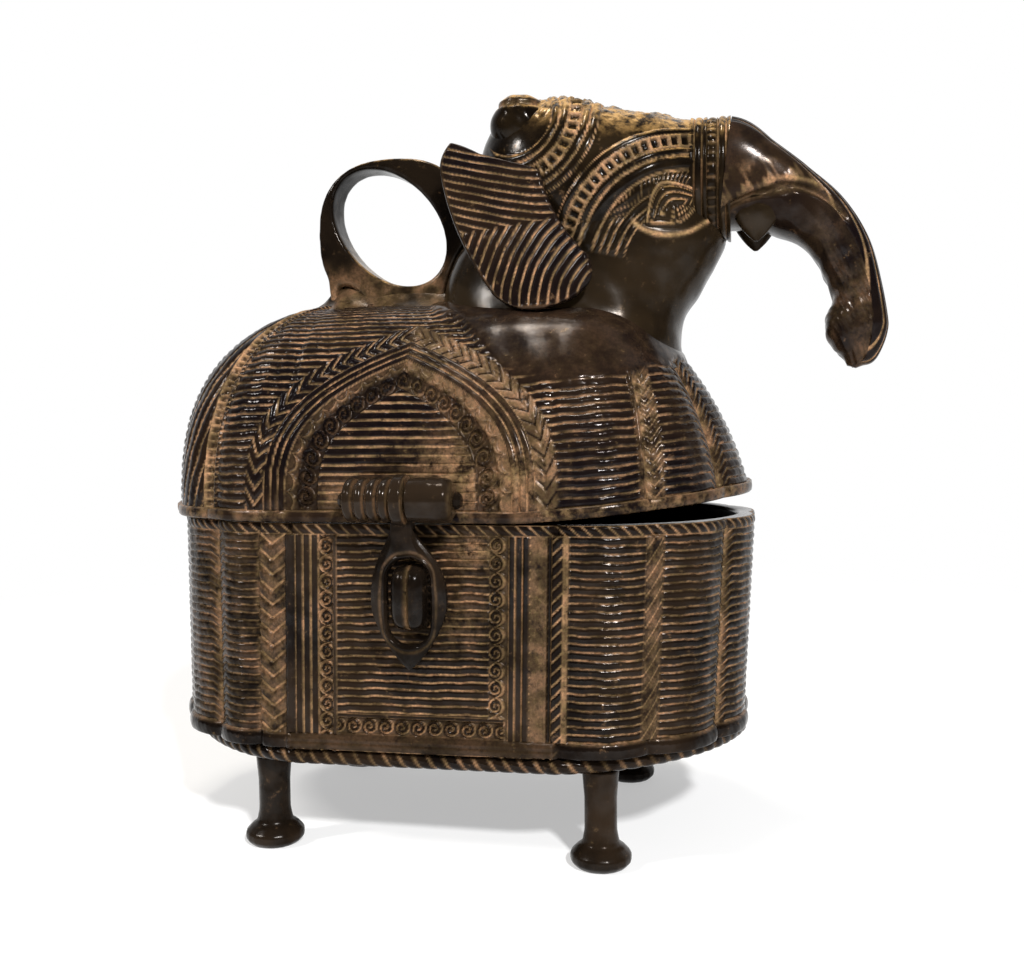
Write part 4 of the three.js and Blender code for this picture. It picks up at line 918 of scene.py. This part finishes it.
def head_relief(points, turn):
    """Bands and ladders of thread in arcs round the jaw's hinge and round the skull's knobs, and an
    almond eye with rings in it. The drawing is the same on both sides of the head."""
    x, y, z = np.moveaxis(points, -1, 0)
    y = np.abs(y)
    work = Relief(0.12 * wander(x, z, 4.0), 0)
    r = np.hypot(x - FACE[0], z - FACE[1])
    angle = np.degrees(np.arctan2(z - FACE[1], x - FACE[0]))
    arc = np.radians(angle) * 28
    sweep = step(angle, 80, 83) * (1 - step(angle, 164, 169))
    jaw = step(angle, 143, 149)
    nape = np.hypot(x - NAPE[0], z - NAPE[1])
    nape_arc = np.arctan2(z - NAPE[1], x - NAPE[0]) * 13
    behind = step(r, 30.7, 31.0) * step(x, 9, 12) * (1 - step(x, 37, 38))
    bands = [(nape, nape_arc, behind, *band) for band in zip(NAPE_EDGES, NAPE_EDGES[1:], NAPE_KINDS)]
    bands += [(r, arc, sweep, *band) for band in zip(FACE_EDGES, FACE_EDGES[1:], FACE_KINDS)]
    for radius, way, part, *limits, kind in bands:
        low, high = sorted(limits)
        mask, across = between(radius, low, high, 0.08)
        if kind == "ladder":
            height, clay = ladder(way, across, 2.05, 0.7)
            clay = clay * 0.9
        elif kind == "hatch":
            height, clay = rope(way, across, 1.5, 1.3, 0.9, 0.8)
            height_low, clay_low = threads((radius - low) / 1.55, 0.7)
            height = height + (height_low - height) * jaw
            clay = 0.6 * clay * (1 - jaw) + 1.2 * clay_low * jaw
        else:
            height, clay = cord(across, 0.7 if kind == "cord" else 1.0)
            clay = clay * 1.3
        work.lay(mask * part, (height, clay), -0.55)
    # The eye: rings inside an almond, and a lid line under it.
    along, over = rotated(x - EYE[0], z - EYE[1], EYE_LEAN)
    size = np.abs(along / 5.9) ** 1.7 + np.abs(over) / np.where(over > 0, 4.6, 2.9)
    inside = 1 - step(size, 0.97, 1.03)
    swell = 1.5 * rounded(size * 0.85, 1)
    height, clay = threads(size * 3.0, 0.8)
    work.lay(inside, (height + swell + 0.1, clay * 1.7 * step(size, 0.1, 0.2)))
    rim = near(size, 1.12, 0.09)
    work.lay(np.clip(rim * 1.5, 0, 1) * (1 - inside), (0.85, 1.4 * step(rim, 0.35, 0.8)))
    line = near(np.hypot(x - 48.3, z - 139.9), 10.6, 0.4) * step(x, 40.5, 41.5) * (z < 135.5)
    work.lay(line, (0.35, 1.6))
    # Rough crest with lumps along the top.
    top = step(z, HEAD_Z + 10, HEAD_Z + 15)
    lumps = sum(patch(x, y, *place, 1.9, 2.0) for place in CREST_LUMPS)
    rough = 0.35 * np.abs(wander(x * 2.7, y * 3.1, 9.0)) + 0.25 * np.abs(wander(x * 6, y * 7, 2.0))
    return work.height + top * (0.85 * lumps + rough), work.clay


def on_neck(y, z):
    """1 on the neck's sides near the head, where the relief stands out along Y."""
    return step(z, 120, 124) * step(y, 5, 9)


def on_head(y, z):
    """1 on the head's cheeks, where the relief stands out along Y."""
    return step(HEAD_Z + 4 - z, 0, 4) * step(y, 4, 8)


def neck_relief(points, turn):
    """Two slow waves, blended into the head's own relief where the bands of the face end on the neck."""
    x, y, z = np.moveaxis(points, -1, 0)
    lumps = 0.25 * wander(x * 0.8, z * 1.3 + y * 0.7, 3.0) + 0.02 * wander(x * 2, z * 2 + y, 5.0)
    height, clay = head_relief(points, turn)
    face = step(z, 122, 126) * step(np.abs(y), 6, 9) * step(x, 18, 21)
    return lumps * (1 - face) + height * face, clay * face


stations = [
    (NECK_X + shift * NECK_DEEP, NECK_FOOT + rise * NECK_RISE, deep * NECK_DEEP, wide * NECK_WIDE)
    for rise, shift, deep, wide in NECK_FORM
]
rows = smooth_rows(stations, NECK_ROWS)
points, clay = section_grid(rows, NECK_SIDES, neck_relief, heading=math.pi / 2, level=on_neck)
# The neck's foot runs out under the dome's skin, and its underside follows the dome there.
middle = points[0].mean(axis=0)
points = np.concatenate([middle + (points[:1] - middle) * f for f in (0.03, 0.3, 0.6, 0.9)] + [points])
clay = np.concatenate([np.zeros((4, clay.shape[1])), clay])
skin = dome_top(points[..., 0], points[..., 1]) - 1.7
points[..., 2] = 0.5 * (points[..., 2] + skin + np.sqrt((points[..., 2] - skin) ** 2 + 1.0))
points[:4, :, 2] = skin[:4]
elephant_part("neck", points, NECK_FINISH, "neck_and_head", clay)

stations = [
    (HEAD_REAR + along * HEAD_LONG, HEAD_Z + rise * HEAD_HIGH, high * HEAD_HIGH, wide * HEAD_WIDE)
    for along, rise, high, wide in HEAD_FORM
]
muzzle = stations[-1]
rows = smooth_rows(stations, HEAD_ROWS)
points, clay = section_grid(rows, HEAD_SIDES, head_relief, heading=0.0, level=on_head)
elephant_part("head", points, HEAD_FINISH, clay=clay)


def ball_grid(rows, columns):
    """Directions over a ball, from its lowest to its highest point, and their latitude and turn."""
    latitude = np.linspace(-math.pi / 2 + 0.02, math.pi / 2 - 0.02, rows)[:, None]
    turn = turns(columns)
    flat = np.cos(latitude)
    return grid(flat * np.cos(turn), flat * np.sin(turn), np.sin(latitude)), latitude, turn


KNOB = (15.99, 8.0, 154.87)
KNOB_RADIUS = 6.75
directions, _, _ = ball_grid(*KNOB_GRID)
a, b, c = np.moveaxis(directions, -1, 0)
reach = KNOB_RADIUS + 0.35 * step(c, 0.66, 0.74) + 0.26 * wander(a * 14, c * 15 + b * 9, 3.0)
reach = reach - 0.5 * near(c, 0.6, 0.07) - 0.5 * step(c, 0.9, 1.0)
for side, sign in (("left", -1), ("right", 1)):
    points = np.array(KNOB) * (1, sign, 1) + directions * reach[..., None]
    elephant_part(f"knob_{side}", points, HEAD_FINISH, f"skull_knob_{side}", 0.6 * near(c, 0.6, 0.09))


def bridle_relief(points, turn):
    """Round threads of the way along X, with a twisted rope round the middle."""
    x = points[..., 0] - BRIDLE_FROM
    height, clay = threads(x / 1.65, 0.7)
    work = Relief(height + 0.7, clay)
    work.band(x, 2.6, 4.6, lambda across: rope(turn * 13, across, 1.0, 2.1, 0, 0.7), -0.55, edge=0.1)
    return work.height, work.clay * (0.25 + 0.9 * step(points[..., 2], 138, 152))


rows = np.array([(x, *muzzle[1:]) for x in np.linspace(HEAD_FRONT - 0.6, TRUNK_ROOT + 0.6, BRIDLE_ROWS)])
points, clay = section_grid(rows, BRIDLE_SIDES, bridle_relief, heading=0.0)
elephant_part("bridle_rings", points, HEAD_FINISH, "bridle", clay)


def trunk_relief(points, turn):
    """Fine ridges along the outer curve, a smooth cheek at the root with a ledge under it, and a
    rough lower part."""
    along = np.linspace(0, 1, len(points))[:, None]
    x, y, z = np.moveaxis(points, -1, 0)
    soiled = 0.3 * step(along, 0.3, 0.6) * (0.5 + 0.5 * wander(x * 1.5, z * 1.5, 3.0))
    work = Relief(0.2 * wander(x * 2, z * 2, 6.0), soiled)
    top = np.abs(y) / (muzzle[3] * (1 - 0.45 * along))
    ridged = between(top, -1, 0.74, 0.04)[0] * (np.sin(turn) > 0.35)
    work.lay(ridged * (1 - step(along, 0.9, 0.97)), threads(np.abs(y) / 1.5 + 0.5, 0.5), -0.25)
    ledge = np.sin(turn) + 0.5 - 1.5 * step(along, 0.0, 0.42) * 0.75
    cheek = step(ledge, -0.12, 0.05) * (1 - step(along, 0.36, 0.44)) * (1 - ridged)
    # edge paints a thin light line along the ledge's rim: a painted highlight where the overhang's edge
    # catches the light, carried in the clay attribute.
    edge = near(ledge, 0.02, 0.05) * step(along, 0.12, 0.3)
    crust = step(wander(x * 4.3, z * 5.1 + y * 3, 4.0), -0.1, 0.5) * (1 - step(ledge, 0.2, 0.6))
    work.lay(cheek, (0.9 + 0.08 * crust, 0.05 + 0.5 * crust + 1.2 * edge))
    crease = near(ledge, -0.16, 0.09) * (1 - step(along, 0.4, 0.46))
    rough = 0.3 * step(along, 0.4, 0.6) * (1 - ridged) * wander(x * 6, z * 6 + y * 3, 8.0)
    return work.height - 0.9 * crease + rough, np.maximum(work.clay, 0.4 * crease)


_, root_z, root_high, root_wide = muzzle
stations = [
    (
        TRUNK_ROOT + reach * TRUNK_REACH,
        root_z - drop * TRUNK_DROP,
        root_high + slim * (TIP_HIGH - root_high),
        root_wide + narrow * (TIP_WIDE - root_wide),
    )
    for reach, drop, slim, narrow in TRUNK_FORM
]
rows = smooth_rows(stations, TRUNK_ROWS)[TRUNK_HIDDEN:]
points, clay = section_grid(rows, TRUNK_SIDES, trunk_relief, squareness=2.6)
elephant_part("trunk_form", points, LID_FINISH, "trunk", clay)


def dress(node, material, voxel=0.35, rounds=6):
    """Gives a CAD node that keeps its own shape its finish, and cast softness from a fine remesh and a
    little smoothing."""
    made = NODES[node]
    for slot in made.material_slots:
        slot.material = material
    if not made.material_slots:
        made.data.materials.append(material)
    if voxel:
        soft = made.modifiers.new("cast", "REMESH")
        soft.mode = "VOXEL"
        soft.voxel_size = voxel * MM
        soft.use_smooth_shade = True
        even = made.modifiers.new("worn", "SMOOTH")
        even.factor = 0.5
        even.iterations = rounds


def bend_of(points, count=24):
    """A Bezier curve of two or more leading points: neighbours are blended until one point is left."""
    t = np.linspace(0, 1, count)[:, None]
    points = np.array(points, float)
    while len(points) > 1:
        points = [(1 - t) * a + t * b for a, b in zip(points[:-1], points[1:])]
    return points[0]


# Outline of an ear's flat drawing, in shares of its size: the lower edge, and both sides up from it.
EAR = 37.0
EAR_LOW = ((0.34, 0.09), (0.54, -0.08), (0.82, 0.06))
EAR_REAR = (((0.34, 0.09), (0.07, 0.44), (-0.01, 0.82)), ((-0.01, 0.82), (-0.03, 0.92), (0.05, 1)))
EAR_FORE = (
    ((0.82, 0.06), (0.98, 0.16), (0.89, 0.3)),
    ((0.89, 0.3), (0.68, 0.5), (0.6, 0.8)),
    ((0.56, 0.815), (0.24, 0.92)),
    ((0.24, 0.92), (0.1, 1.0), (0.05, 1)),
)
EAR_TILT, EAR_TURN = math.radians(5), math.radians(8)
EAR_PIVOT = 0.88 * EAR
EAR_STANDS = 17.9
EAR_HALF = 1.15
EAR_BACK = 0.6


def ear(side):
    """A flap ear: rows from its lower tip up, and across from its left limit to its right one. Fans of
    thread cover the outside: slanting lines above, arcs round the cheek below."""
    low = bend_of(EAR_LOW, 60)
    split = np.argmin(low[:, 1])
    b = np.linspace(low[split, 1], 1.0, EAR_ROWS)
    limits = []
    for first, curves in ((low[: split + 1][::-1], EAR_REAR), (low[split:], EAR_FORE)):
        path = np.concatenate([first] + [bend_of(curve) for curve in curves])
        limits.append(np.interp(b, np.maximum.accumulate(path[:, 1]), path[:, 0])[:, None])
    u = 0.5 - 0.5 * np.cos(np.linspace(0, math.pi, EAR_COLUMNS))
    u = 0.35 * u + 0.65 * np.linspace(0, 1, EAR_COLUMNS)
    width = (limits[1] - limits[0]) * EAR
    a = (limits[0] + (limits[1] - limits[0]) * u) * EAR
    b = b[:, None] * EAR
    edge = np.minimum(np.minimum(u, 1 - u) * width, np.minimum(b - b.min(), b.max() - b) + 0.25)
    edge = np.clip(edge / 0.9, 0, 1)
    half = EAR_HALF * np.sqrt(1 - (1 - edge) ** 2)

    def stand(y):
        """The flat drawing tilted, turned and set beside the head."""
        x, z = a - EAR_PIVOT, b - EAR
        y, z = rotated(y, z, EAR_TILT)
        x, y = rotated(x, y, EAR_TURN)
        return grid(x + HEAD_REAR + HEAD_LONG * 0.56, y - EAR_STANDS, z + EAR + HEAD_Z - HEAD_HIGH * 0.79)

    front, back = stand(-EAR_BACK - half), stand(-EAR_BACK + half)
    x, z = front[..., 0], front[..., 2]
    rank = z + 0.30 * (x - 4) - 0.0045 * (x - 4) ** 2 + 0.2 * wander(x, z, 2.0)
    work = Relief(*threads(rank / 1.73, 0.55))
    fan = np.hypot(x - 38.8, z - 115.3) + 0.2 * wander(z, x, 6.0)
    below = 1 - step(z - 131.4 - 0.09 * (x - 8.2), -0.4, 0.4)
    work.lay(below, threads((fan - 0.4) / 2.05, 0.6))
    rim = 1 - step(np.minimum(u * width, b - b.min()), 0.7, 1.2)
    work.lay(rim, (0.1, 0.15))
    points = stand(-EAR_BACK - half - work.height * edge)
    whole = np.concatenate([points, back[:, ::-1]], axis=1) * (1, -1 if side == "right" else 1, 1)
    clay = np.concatenate([work.clay * edge, 0 * work.clay], axis=1)
    elephant_part(f"flap_{side}", whole, LID_FINISH, f"ear_{side}", clay)


ear("left")
ear("right")

# Hasp, its barrels and its lug.
PIN = (-43.8, 75.65)


def hasp_part(name, points, body, node="", clay=0.0, loops=(False, True)):
    """A piece of the hasp, its barrels or its lug."""
    piece(name, points, body, "bronze_hardware", HARDWARE_FINISH, node, loops, clay)


def turned(name, x, r, body, node="", wobble=0.0):
    """A profile turned round the hasp's pin: radius r at each x. The profile itself rounds its ends."""
    turn = turns(BARREL_SIDES)
    r = r[:, None] + wobble * wander(x[:, None] * 3, turn * 3.0, 3.0)
    points = grid(x[:, None], PIN[0] + r * np.cos(turn), PIN[1] + r * np.sin(turn))
    slant = np.abs(np.gradient(r[:, 0]) / np.gradient(x))
    hasp_part(name, points, body, node, step(slant, 0.5, 1.6)[:, None] * 0.25)


def ends(x, corner_low, corner_high):
    """How much a radius loses near both ends of a barrel: a quarter circle's corner at each."""
    low = np.clip(1 - (x - x[0]) / corner_low, 0, 1)
    high = np.clip(1 - (x[-1] - x) / corner_high, 0, 1)
    return corner_low * (1 - np.sqrt(1 - low**2)) + corner_high * (1 - np.sqrt(1 - high**2))


RIBBED_FROM, RIBBED_TO, RIB_PITCH = -12.4, -2.8, 2.4
x = np.linspace(RIBBED_FROM, RIBBED_TO, 220)
rib = ((x - RIBBED_FROM) / RIB_PITCH % 1 - 0.5) / 0.42
turned("barrel_ribbed", x, 3.55 + 0.95 * rounded(rib) - ends(x, 0.5, 0.3), "lid", "hasp_knuckle_left", 0.05)
x = np.linspace(0.4, 9.4, 120)
plain = 4.5 - 0.012 * (x - 4.5) ** 2
turned("barrel_plain", x, plain - ends(x, 0.5, 1.6), "lid", "hasp_knuckle_right", 0.08)
x = np.linspace(-2.48, 0.08, 40)
turned("hasp_eye", x, 5.1 - ends(x, 0.7, 0.7), "hasp")

# The hasp's leaf: height of its middle and half its width, and its slot: half the straight part of the
# sides and the radius of both ends.
LEAF_MIDDLE, LEAF_HALF = 55.75, 7.7
SLOT_SIDE, SLOT_RADIUS = 4.15, 4.45
LEAF_BACK = -42.7


def leaf_side(sign, shoulder, neck, top):
    """One side of the leaf's outline, three Bezier curves from its tip up to the eye."""
    widest = (sign * LEAF_HALF, LEAF_MIDDLE)
    curves = [((0, 42.3), (sign * 2.7, 44.3), (sign * LEAF_HALF, 51.1), widest)]
    curves += [(widest, (sign * LEAF_HALF, 64.2), shoulder, neck), (neck, top)]
    return np.concatenate([bend_of(curve, count) for curve, count in zip(curves, (70, 70, 16))])


def leaf():
    """The hasp's leaf: a ring of surface between its outline and its slot, higher in the middle, with
    a thin lip round the slot. Each point of the outline is tied to the slot along a ray."""
    right = leaf_side(1, (2.2, 66.6), (1.2, 69.8), (1.0, 73.0))
    left = leaf_side(-1, (-4.1, 66.6), (-3.6, 69.8), (-3.4, 73.0))
    outline = np.concatenate([right, left[::-1][:-1]]) - (0, LEAF_MIDDLE)
    outline = outline[np.linalg.norm(np.roll(outline, -1, 0) - outline, axis=1) > 1e-6]
    ray = outline / np.linalg.norm(outline, axis=1, keepdims=True)
    c, s = np.abs(ray[:, 0]) + 1e-9, np.abs(ray[:, 1]) * SLOT_SIDE
    past = np.sqrt(np.maximum(s**2 - SLOT_SIDE**2 + SLOT_RADIUS**2, 0))
    on_side = SLOT_RADIUS / c * np.abs(ray[:, 1]) <= SLOT_SIDE
    slot = ray * np.where(on_side, SLOT_RADIUS / c, s + past)[:, None]
    t = np.concatenate([[0, 0], np.linspace(0, 1, 40), [1, 1]])
    depth = np.concatenate([[0, 0.5], np.full(40, 0.85), [0.5, 0]])[:, None] * 1.5
    place = outline + (slot - outline) * t[:, None, None]
    from_slot = np.linalg.norm(place - slot, axis=2)
    from_edge = np.linalg.norm(place - outline, axis=2)
    soft = np.sqrt(np.clip(np.minimum(from_slot, from_edge) / 0.7, 0, 1))
    crown = 0.55 * np.sqrt(np.minimum(from_edge / 1.9, 1)) - 0.25 * step(from_slot, 1.5, 0.9)
    face = (crown + 0.35 * near(from_slot, 0.55, 0.4)) * soft
    face = face + 0.06 * wander(place[..., 0] * 2, place[..., 1] * 2, 4.0)
    thick = depth + np.where(depth > 1, face, 0)
    points = grid(place[..., 0], LEAF_BACK - thick, place[..., 1] + LEAF_MIDDLE)
    hasp_part("hasp_leaf", points, "hasp", "hasp", 0.2 * near(from_slot, 1.3, 0.3), (True, True))


leaf()

# The lug: a rounded loaf with a groove down its face. Its half width, how far it stands out and its
# half height, where it leaves the wall, and its middle's height.
LUG = (4.0, 7.5, 6.5)
LUG_ROOT, LUG_Z = -38.9, 56.4
_, latitude, turn = ball_grid(*LUG_GRID)
flat = blunt(np.cos(latitude), 0.5)
x = LUG[0] * blunt(np.cos(turn), 0.62) * flat
out_by = LUG[1] * blunt(np.sin(turn), 0.62) * flat
out_by = np.maximum(out_by - 0.9 * near(x, 0, 0.5) * step(out_by, 1, 4), -0.3)
points = grid(x, LUG_ROOT - out_by, LUG_Z + LUG[2] * blunt(np.sin(latitude), 0.5))
hasp_part("lug_loaf", points, "tub", "lug", 0.5 * near(x, 0, 0.4) * (out_by > 2))

for name in ("hasp_pin", "hinge_pin"):
    dress(name, HARDWARE_FINISH, 0)
for name in ("tub_knuckle_left", "tub_knuckle_right", "lid_knuckle"):
    dress(name, TUB_FINISH, 0.35)
for name in LEGS:
    dress(name, LEG_FINISH, 0.4)
dress("handle_ring", HANDLE_FINISH, 0.4, 24)


RING_X, RING_HALF = -15.6, 12.8


def handle_foot():
    """The ring's foot flows out over the dome: rings of a long oval round its base, each lower by power
    2.4 of what is left of the way out, closed under the dome's skin."""
    turn = turns(160)
    level = np.concatenate([[0.01], np.linspace(0.5, 11.0, 12), np.linspace(11.0, 0.01, 60)])[:, None]
    over = np.arange(len(level))[:, None] >= 13
    away = level * (1 - 0.4 * np.cos(turn) ** 4) * (1 + 0.1 * np.sin(9 * turn) * step(level, 2, 8))
    x = RING_X + RING_HALF * np.clip(1.6 * np.cos(turn), -1, 1) + away * np.cos(turn)
    y = away * np.sin(turn)
    rise = 4.0 * (1 - np.clip((level - 3.4) / 7.4, 0, 1)) ** 2.4 - 0.35
    rise = rise + 1.7 * patch(x, y, -25.8, 0, 3.4, 2.7)
    rise = rise - 1.3 * patch(x, np.abs(y), -20.5, 6.0, 3.5, 2.4) + 0.15 * wander(x * 3, y * 3, 2.0)
    points = grid(x, y, dome_top(x, y) + np.where(over, rise, -1.6))
    clay = (0.2 + 0.25 * wander(x * 2, y * 2, 5.0)) * over
    piece("handle_foot", points, "lid", "bronze_lid", NECK_FINISH, clay=clay, dust=clay, weld=True)


handle_foot()


TUSK_ROOT = (66.4, 6.4, 137.6)


def tusk(side, sign):
    """A short blunt tusk: a turned cone, flattened across, that loses radius by power 2.2 of the way
    down."""
    t = np.linspace(0, 1, 40)[:, None]
    turn = turns(60)
    r = 0.4 + 5.0 * (1 - t**2.2) + 0.1 * wander(t * 20, turn * 4, 3.0)
    y = sign * (TUSK_ROOT[1] + 0.6 * t) + 0.55 * r * np.sin(turn)
    points = grid(TUSK_ROOT[0] + r * np.cos(turn), y, TUSK_ROOT[2] - 9.2 * t)
    elephant_part(f"tusk_cone_{side}", points, NECK_FINISH, f"tusk_{side}")


tusk("left", -1)
tusk("right", 1)


# Floor, light and camera. The camera sees white all round. Reflections see the same backdrop behind the
# box and the darker half of the room in front of it, and the floor keeps the shadow.
def backdrop_seen(tree, coordinate, dark_at, light_at):
    """1 for the camera and through glass; for reflections, rising along Y from dark_at to light_at."""
    path = tree.nodes.new("ShaderNodeLightPath").outputs
    depth = node_of(tree, "SeparateXYZ", coordinate, output=1)
    depth = node_of(tree, "MapRange", depth, dark_at, light_at, 0.03, 1.0)
    seen = node_of(tree, "Math", path["Is Camera Ray"], path["Is Transmission Ray"], operation="MAXIMUM")
    mirrored = node_of(tree, "Math", path["Is Glossy Ray"], depth, operation="MULTIPLY")
    return node_of(tree, "Math", seen, mirrored, operation="MAXIMUM"), path["Is Glossy Ray"]


FAR = 9.0
PAPER = (0.92, 0.92, 0.92, 1)
corners = [(FAR * x, FAR * y, 0) for x, y in ((-1, -1), (1, -1), (1, 1), (-1, 1))]
floor_mesh = bpy.data.meshes.new("floor")
floor_mesh.from_pydata(corners, [], [(0, 1, 2, 3)])
floor = placed("floor", floor_mesh)
paper = bpy.data.materials.new("floor_paper")
paper.use_nodes = True
tree = paper.node_tree
paper_shader = tree.nodes["Principled BSDF"]
paper_shader.inputs["Base Color"].default_value = PAPER
paper_shader.inputs["Roughness"].default_value = 0.9
where = node_of(tree, "TexCoord", output="Object")
away = node_of(tree, "VectorMath", where, operation="LENGTH", output="Value")
spread = node_of(tree, "MapRange", away, 0.12, 0.42, 0.45, 1.0)
seen, _ = backdrop_seen(tree, where, -0.3, 0.0)
share = node_of(tree, "Math", spread, seen, operation="MULTIPLY")
blend = node_of(tree, "MixShader", share, paper_shader.outputs[0], node_of(tree, "Emission"))
tree.links.new(blend, tree.nodes["Material Output"].inputs[0])
floor_mesh.materials.append(paper)

world = bpy.data.worlds.new("studio")
bpy.context.scene.world = world
world.use_nodes = True
tree = world.node_tree
seen, glossy = backdrop_seen(tree, node_of(tree, "TexCoord", output="Generated"), -0.1, 0.5)
fill = node_of(tree, "MapRange", glossy, 0.0, 1.0, 0.25, 0.0)
sky = tree.nodes["Background"]
sky.inputs[0].default_value = (1, 1, 1, 1)
tree.links.new(node_of(tree, "Math", seen, fill, operation="MAXIMUM"), sky.inputs[1])

# Each lamp: place, size, power and tint. All look at the middle of the box.
LAMP_AIM = Vector((0, 0, 0.08))
LAMPS = {
    "window": ((0.43, -0.745, 0.68), (0.08, 0.08), 16.0, (1, 1, 1)),
    "left_lamp": ((-0.67, -0.47, 0.65), (0.07, 0.16), 6.0, (1, 0.97, 0.93)),
    "overhead": ((-0.10, -0.05, 1.10), (0.20, 0.20), 6.0, (1, 0.94, 0.85)),
}
for name, (place, size, power, tint) in LAMPS.items():
    lamp = bpy.data.lights.new(name, "AREA")
    lamp.shape = "RECTANGLE"
    lamp.size, lamp.size_y = size
    lamp.energy = power
    lamp.color = tint
    holder = placed(name, lamp)
    holder.location = place
    holder.rotation_euler = (LAMP_AIM - Vector(place)).to_track_quat("-Z", "Y").to_euler()

# The camera that was solved from the photograph.
LENS = 38.42
CAMERA_AT = (0.05098, -0.2449, 0.09047)
AZIMUTH, PITCH, ROLL = (math.radians(a) for a in (12.06, 3.07, -0.55))
camera_data = bpy.data.cameras.new("camera")
camera_data.lens = LENS
camera_data.sensor_width = 36.0
camera_data.clip_start = 0.01
camera = placed("camera", camera_data)
bpy.context.scene.camera = camera
back = Vector((math.sin(AZIMUTH) * math.cos(PITCH), -math.cos(AZIMUTH) * math.cos(PITCH), math.sin(PITCH)))
right = Vector((math.cos(AZIMUTH), math.sin(AZIMUTH), 0))
above = back.cross(right)
right_rolled = right * math.cos(ROLL) + above * math.sin(ROLL)
above_rolled = above * math.cos(ROLL) - right * math.sin(ROLL)
turned_by = Matrix((right_rolled, above_rolled, back)).transposed().to_4x4()
camera.matrix_world = Matrix.Translation(Vector(CAMERA_AT)) @ turned_by

bpy.context.scene.view_settings.view_transform = "Standard"
